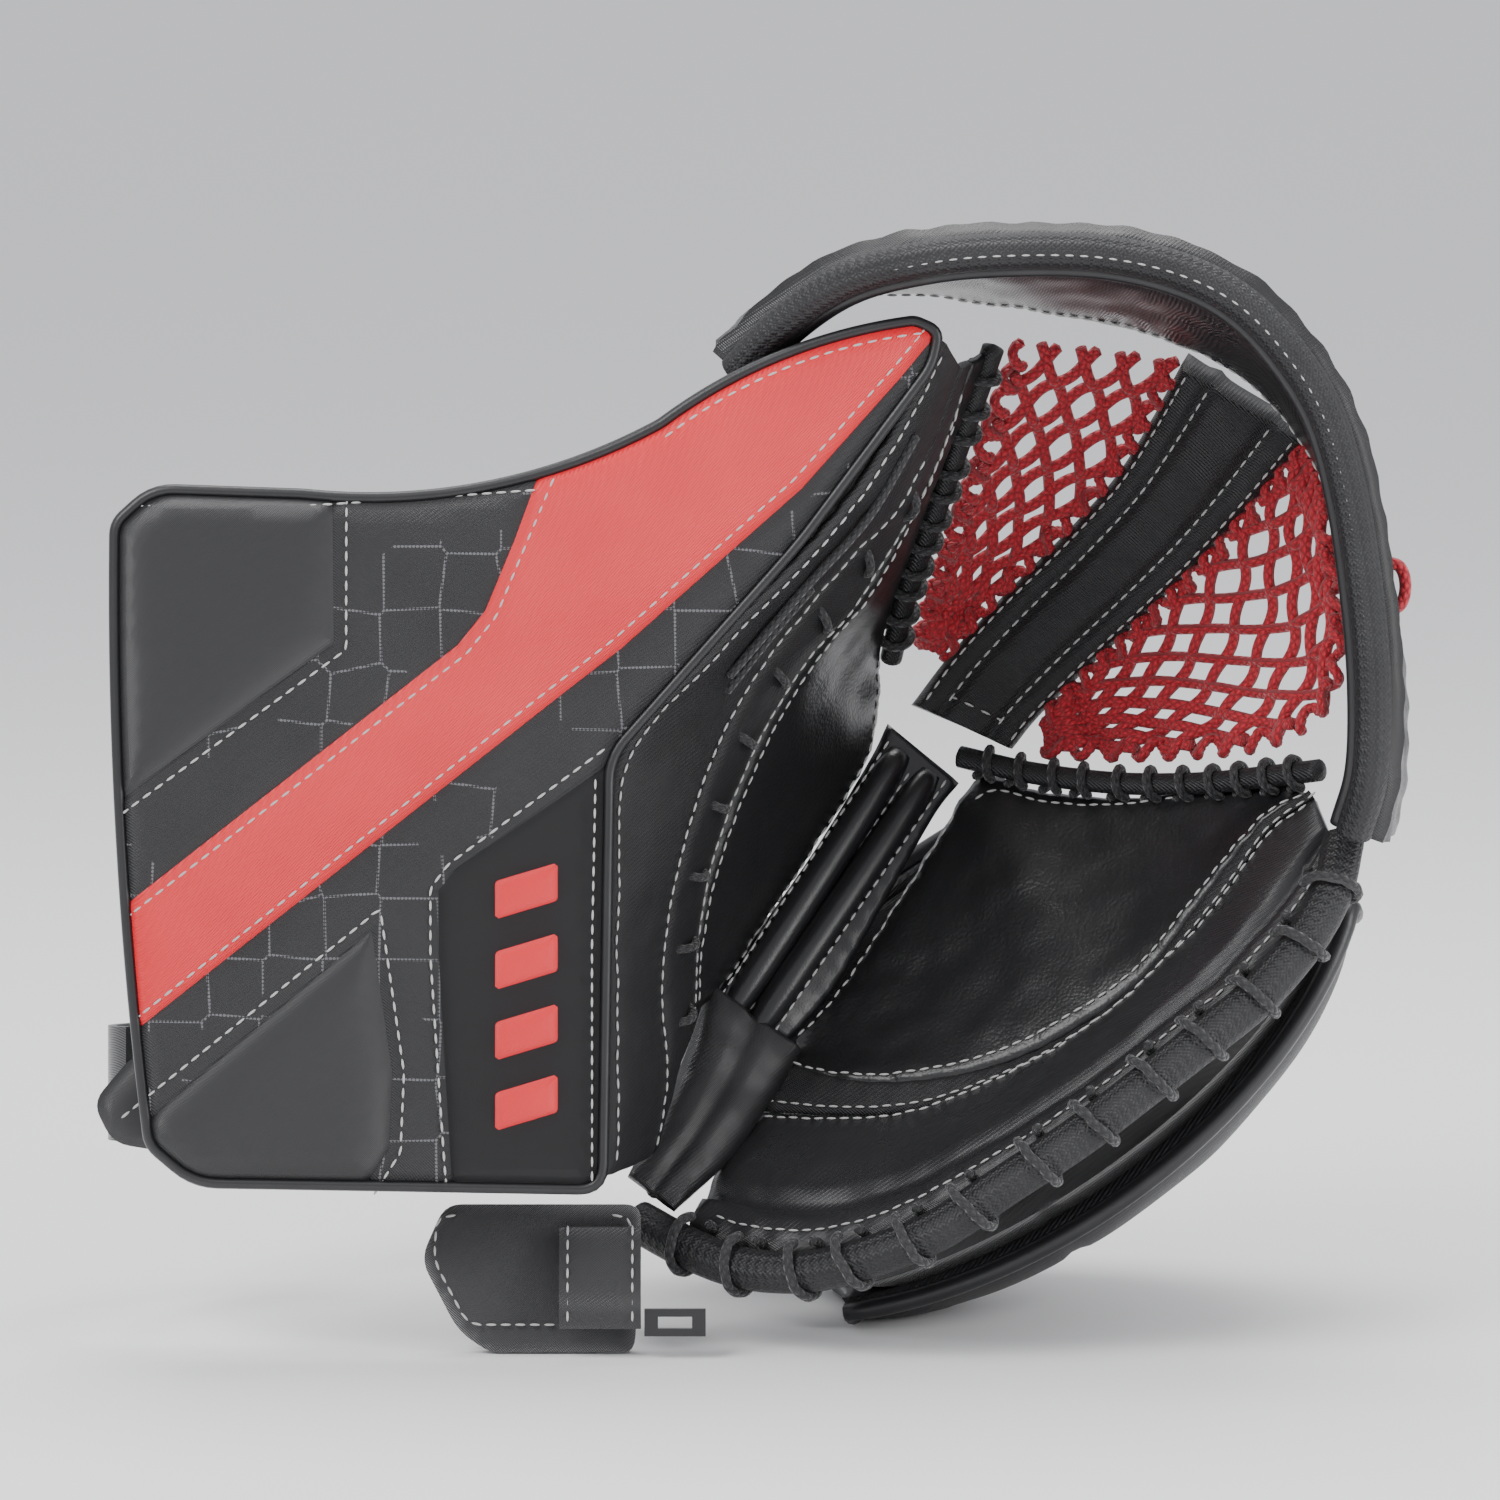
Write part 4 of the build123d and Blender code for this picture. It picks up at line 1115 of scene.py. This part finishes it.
def build_rim():
    band = Panel("rim_band", [(x, deep + 6, up) for x, deep, up in RIM_FRONT], RIM_BACK, TWILL_SHINY, 150, 18,
                 fill=1.6, wall=9.5, pucker=0.3, seed=21, channels=(0.22,))
    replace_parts(rim_piece(band.object), "rim_thumb", "rim_crown", "rim_finger")
    edge = smooth(RIM_FRONT, 170)
    bead = tube("rim_bead", edge, 5.4 * MM, MESH_BINDING, 20)
    rescale_uv(bead, 34 * MM)
    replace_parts(rim_piece(bead), "rim_binding_thumb", "rim_binding_crown", "rim_binding_finger")
    inner = [p + (BALL - p).normalized() * 5.2 * MM + INTO * 5.5 * MM for p in edge]
    piping = tube("rim_inner_piping", inner, 2.3 * MM, PIPING_EDGE, 12)
    rim_piece(piping)
    rim_piece(stitched("rim_stitches", [
        band.line(0.2, 0.01, 0.99), band.line(0.9, 0.01, 0.99),
        [p + (BALL - p).normalized() * 1.6 * MM - INTO * 5.4 * MM for p in smooth(RIM_FRONT, 200, 0.02, 0.98)],
    ]))
    outer = at(191, 30, 226)
    loop = [outer + UP * y * MM + RIGHT * x * MM for x, y in ((-6, 7), (1, 6), (3, 0), (1, -6), (-6, -7))]
    finger(tube("rim_red_loop", smooth(loop, 40), 1.8 * MM, RED_LACE, 10))


def build_strap():
    strap = Panel("net_strap", STRAP_LEFT, STRAP_RIGHT, TWILL_BLACK, 96, 24, fill=2.4, wall=9.5, pucker=0.2, seed=31,
                  channels=(0.25, 0.75))
    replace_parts(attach(strap.object, "t_trap"), "t_face", "t_core", "t_back")
    low = [strap.spot(0.05, 0.27 + 0.46 * k / 20, 0.5) for k in range(21)]
    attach(stitched("net_strap_stitches", [
        strap.line(0.07, 0.03, 0.98), strap.line(0.93, 0.03, 0.98), strap.line(0.25, 0.05, 0.97),
        strap.line(0.75, 0.05, 0.97), low,
    ]), "t_trap")


def net_cord(edge_a, edge_b, lean, first, cells, rows, bulge, count=72):
    """One lace of a net, that leans from one edge to the other and passes over and under the laces it meets."""
    points = []
    for k in range(count):
        v = k / (count - 1)
        u = (first + lean * v * rows) / cells
        if not 0.0 <= u <= 1.0:
            continue
        i = u * (len(edge_a) - 1)
        j = min(int(i), len(edge_a) - 2)
        a, b = edge_a[j].lerp(edge_a[j + 1], i - j), edge_b[j].lerp(edge_b[j + 1], i - j)
        away = (a.lerp(b, v) - BALL).normalized()
        lift = bulge * math.sin(math.pi * v) * math.sin(math.pi * min(max(u, 0.05), 0.95))
        weave = lean * 1.35 * math.cos(math.tau * rows * v)
        points.append(a.lerp(b, v) + away * (lift + weave) * MM)
    return points if len(points) > 7 else None


def build_net(name, thumb_edge, strap_edge, cells, rows, bulge, node, x, deep, up, across, reach):
    """A net of diamond mesh, laced from red braided cord, with the loops that hold its edges."""
    edge_a, edge_b = smooth(thumb_edge, 120), smooth(strap_edge, 120)
    cords = []
    for lean in (1, -1):
        for first in range(-rows, cells + rows + 1):
            run = net_cord(edge_a, edge_b, lean, first + 0.5 * (lean < 0), cells, rows, bulge)
            if run:
                cords.append(tube(f"{name} cord {lean} {first}", run, 1.8 * MM, RED_LACE, 10, flat=0.8))
    for side, edge in (("outer", edge_a), ("inner", edge_b)):
        ways = tangents(edge)
        wave = []
        turns = cells * 2
        for k in range(260):
            share = k / 259
            i = min(int(share * 119), 119)
            across_edge = (edge[i] - BALL).normalized().cross(ways[i]).normalized()
            away = (edge[i] - BALL).normalized()
            turn = math.tau * turns * share
            wave.append(edge[i] + (across_edge * 2.6 * math.sin(turn) + away * 1.5 * math.cos(turn)) * MM)
        cords.append(tube(f"{name} {side} lacing", smooth(wave, 420), 1.6 * MM, RED_LACE, 8))
    net = joined(name, cords)
    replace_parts(fold_at(net, x, deep, up, *across, reach), node)
    return net


def build_nets():
    build_net("thumb_net", NET_THUMB_EDGE, [(x - 1, deep + 2, up + 1) for x, deep, up in STRAP_LEFT[1:]], 7, 4, 5,
              "net_thumb", 111, 102, 259, (-0.81, 0.58), 44)
    build_net("finger_net", NET_FINGER_EDGE, [(x + 1, deep + 2, up - 1) for x, deep, up in STRAP_RIGHT[1:]], 8, 5, 6,
              "net_finger", 128, 102, 225, (-0.72, 0.69), 44)


def build_thumb_edge():
    edge = smooth(THUMB_EDGE, 90)
    binding = tube("thumb_edge_binding", edge, 3.4 * MM, TWILL_BLACK, 16)
    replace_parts(thumb(binding), "thumb_binding")
    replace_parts(thumb(whip("thumb_edge_lacing", edge, 3.4, 11, 1.4, slant=0.45, seed=17)), "thumb_lacing")
    guard = Panel(
        "thumb_back_guard", [(-24, 48, 262), (4, 48, 281), (30, 48, 294), (56, 50, 296)],
        [(-12, 122, 176), (8, 122, 206), (26, 112, 232), (46, 78, 266)], TWILL_SMOOTH, 70, 30, fill=0.8, wall=6.0,
        seed=41,
    )
    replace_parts(thumb(guard.object), "thumb_guard")


# ---------------------------------------------------------------- backhand pad
PAD_CENTRE = at(72, 98, 103)
PAD_LEAN = math.radians(35)
PAD_ALONG = RIGHT * math.cos(PAD_LEAN) + UP * math.sin(PAD_LEAN)
PAD_ACROSS = INTO.cross(PAD_ALONG)
PAD_MOUTH = 112.0
PAD_WRIST = -86.0
PAD_RADIUS = 80.0
PAD_LENGTH_RADIUS = 128.0


def pad_place(part_way, along_way, inset):
    """A place on the pad's rounded surface, drawn in by an inset and flat where it stands."""
    first = -66 + 30 * min(1, along_way * 1.6)
    turn = math.radians(first + (PAD_MOUTH - first) * part_way)
    along = PAD_WRIST + (min(106, 88 + 90 * math.sin(turn)) - PAD_WRIST) * along_way
    radius = (PAD_RADIUS - inset) * math.sqrt(1 - (along / PAD_LENGTH_RADIUS) ** 2)
    across, behind = radius * math.sin(turn), radius * math.cos(turn)
    place = PAD_CENTRE + (PAD_ALONG * along + PAD_ACROSS * across + INTO * behind) * MM
    place.z = max(place.z, inset * MM)
    return place


def pad_shell(name, near, far, mat, rows=64, columns=64, soft=0.0):
    """One closed layer of the pad, rounded in at its edges."""
    verts = []
    for layer, inset in enumerate((near, far)):
        for i in range(rows):
            for j in range(columns):
                s, t = i / (rows - 1), j / (columns - 1)
                edge = min(s, 1 - s, t, 1 - t)
                over = 3.2 * math.exp(-edge * 34) * (1 if layer == 0 else -0.4)
                place = pad_place(s, t, inset + over)
                if layer == 0 and place.z > 4 * MM:
                    away = (place - PAD_CENTRE).normalized()
                    quilt = math.exp(-(((s - 0.5) / 0.02) ** 2)) * 1.4 + math.exp(-(((t - 0.34) / 0.015) ** 2)) * 1.2
                    place -= away * (quilt - soft * noise.noise(place * 30)) * MM
                verts.append(place)
    return weld(mesh_object(name, verts, shell_faces(rows, columns), mat))


def build_pad():
    outer = pad_shell("backhand_pad", 0.0, 10.5, RIB_NYLON, soft=1.0)
    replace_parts(finger(outer), "backhand_cover", "backhand_foam")
    inner = pad_shell("backhand_pad_lining", 10.7, 15.0, LINING)
    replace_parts(finger(inner), "backhand_shell", "backhand_lining")
    ring = [pad_place(k / 39, 0.0, 3) for k in range(40)] + [pad_place(1.0, k / 39, 3) for k in range(1, 40)]
    ring += [pad_place(1 - k / 39, 1.0, 3) for k in range(1, 40)]
    ring += [pad_place(0.0, 1 - k / 39, 3) for k in range(1, 39)]
    for p in ring:
        p.z = max(p.z, 3.4 * MM)
    finger(tube("backhand_pad_binding", ring, 3.0 * MM, PIPING_EDGE, 12, closed=True))
    finger(stitched("backhand_stitches", [
        [pad_place(0.47, k / 59, -0.6) for k in range(3, 57)], [pad_place(0.53, k / 59, -0.6) for k in range(3, 57)],
    ]))


def build_straps():
    """Finishes for the straps, stalls and heel parts whose shapes come from the frame."""
    finishes = {
        "index_stall": LINING, "middle_stall": LINING, "ring_stall": LINING, "little_stall": LINING,
        "thumb_stall": LINING, "hand_strap": SMOOTH_LEATHER, "heel_strap": TWILL_SHINY, "heel_hook": HOOK_PLASTIC,
        "wrist_strap": TWILL_SHINY,
    }
    for node, mat in finishes.items():
        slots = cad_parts[node].material_slots
        for k in range(len(slots)):
            slots[k].material = mat
    for name, node, corners, front, thick in (
        ("heel_flap_pad", "heel_flap", [(-88, 44), (-95, 28), (-84, 7), (-74, 0), (-32, 0), (-30, 44)], 40.0, 10.6),
        ("wrist_guard_pad", "wrist_guard",
         [(-192, 74), (-186, 62), (-150, 56), (-60, 52), (-56, 92), (-120, 110), (-180, 88)], 44.0, 12.0),
    ):
        pad = flat_pad(name, rounded(corners, 5), front, thick, LINING if node == "heel_flap" else TWILL_SMOOTH)
        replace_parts(finger(pad), node)
    edge = divided(rounded([(-90, 41), (-91, 28), (-81, 9), (-34, 9), (-33, 41)], 4), 3.0, False)
    finger(stitched("heel_flap_stitches", [resampled([at(x, 39.4, up) for x, up in edge], 60)]))
    runs = []
    for x in (-51.5, -32.5):
        runs.append(smooth([(x, 34.2, 37), (x, 31.2, 24), (x, 31.2, 12)], 24))
    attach(stitched("heel_strap_stitches", runs), "heel_closure")


def flat_pad(name, outline, front, thick, mat):
    """A flat sewn pad, crowned a little on both faces, above the floor."""
    outline = divided(outline, 2.5)
    lowest = 0.6 * MM
    points = [Vector(p) for p in outline]
    xs, ys = [p.x for p in points], [p.y for p in points]
    inner = [
        Vector((x, y))
        for x in range(int(min(xs)), int(max(xs)) + 1, 4)
        for y in range(int(min(ys)), int(max(ys)) + 1, 4)
        if inside(x, y, outline) and edge_distance(x, y, outline) > 1.5
    ]
    made = geometry.delaunay_2d_cdt(points + inner, [], [list(range(len(points)))], 1, 1e-5)
    verts = []
    for sign in (1, -1):
        for v in made[0]:
            d = edge_distance(v.x, v.y, outline)
            half = thick / 2 * (0.45 + 0.55 * (1 - math.exp(-d / 4)))
            place = at(v.x, front + thick / 2 - sign * half, v.y)
            place.z = max(place.z, lowest)
            verts.append(place)
    count = len(made[0])
    faces = []
    for f in made[2]:
        f = tuple(reversed(f)) if flat_turn(made[0], f) < 0 else tuple(f)
        faces += [f, tuple(count + k for k in reversed(f))]
    used = {}
    for f in made[2]:
        for a, b in zip(f, f[1:] + f[:1]):
            used[(a, b)] = used.get((a, b), 0) + 1
    faces += [(a, b, count + b, count + a) for (a, b) in used if (b, a) not in used]
    return weld(mesh_object(name, verts, faces, mat))


build_rim()
build_strap()
build_nets()
build_thumb_edge()
build_pad()
build_straps()
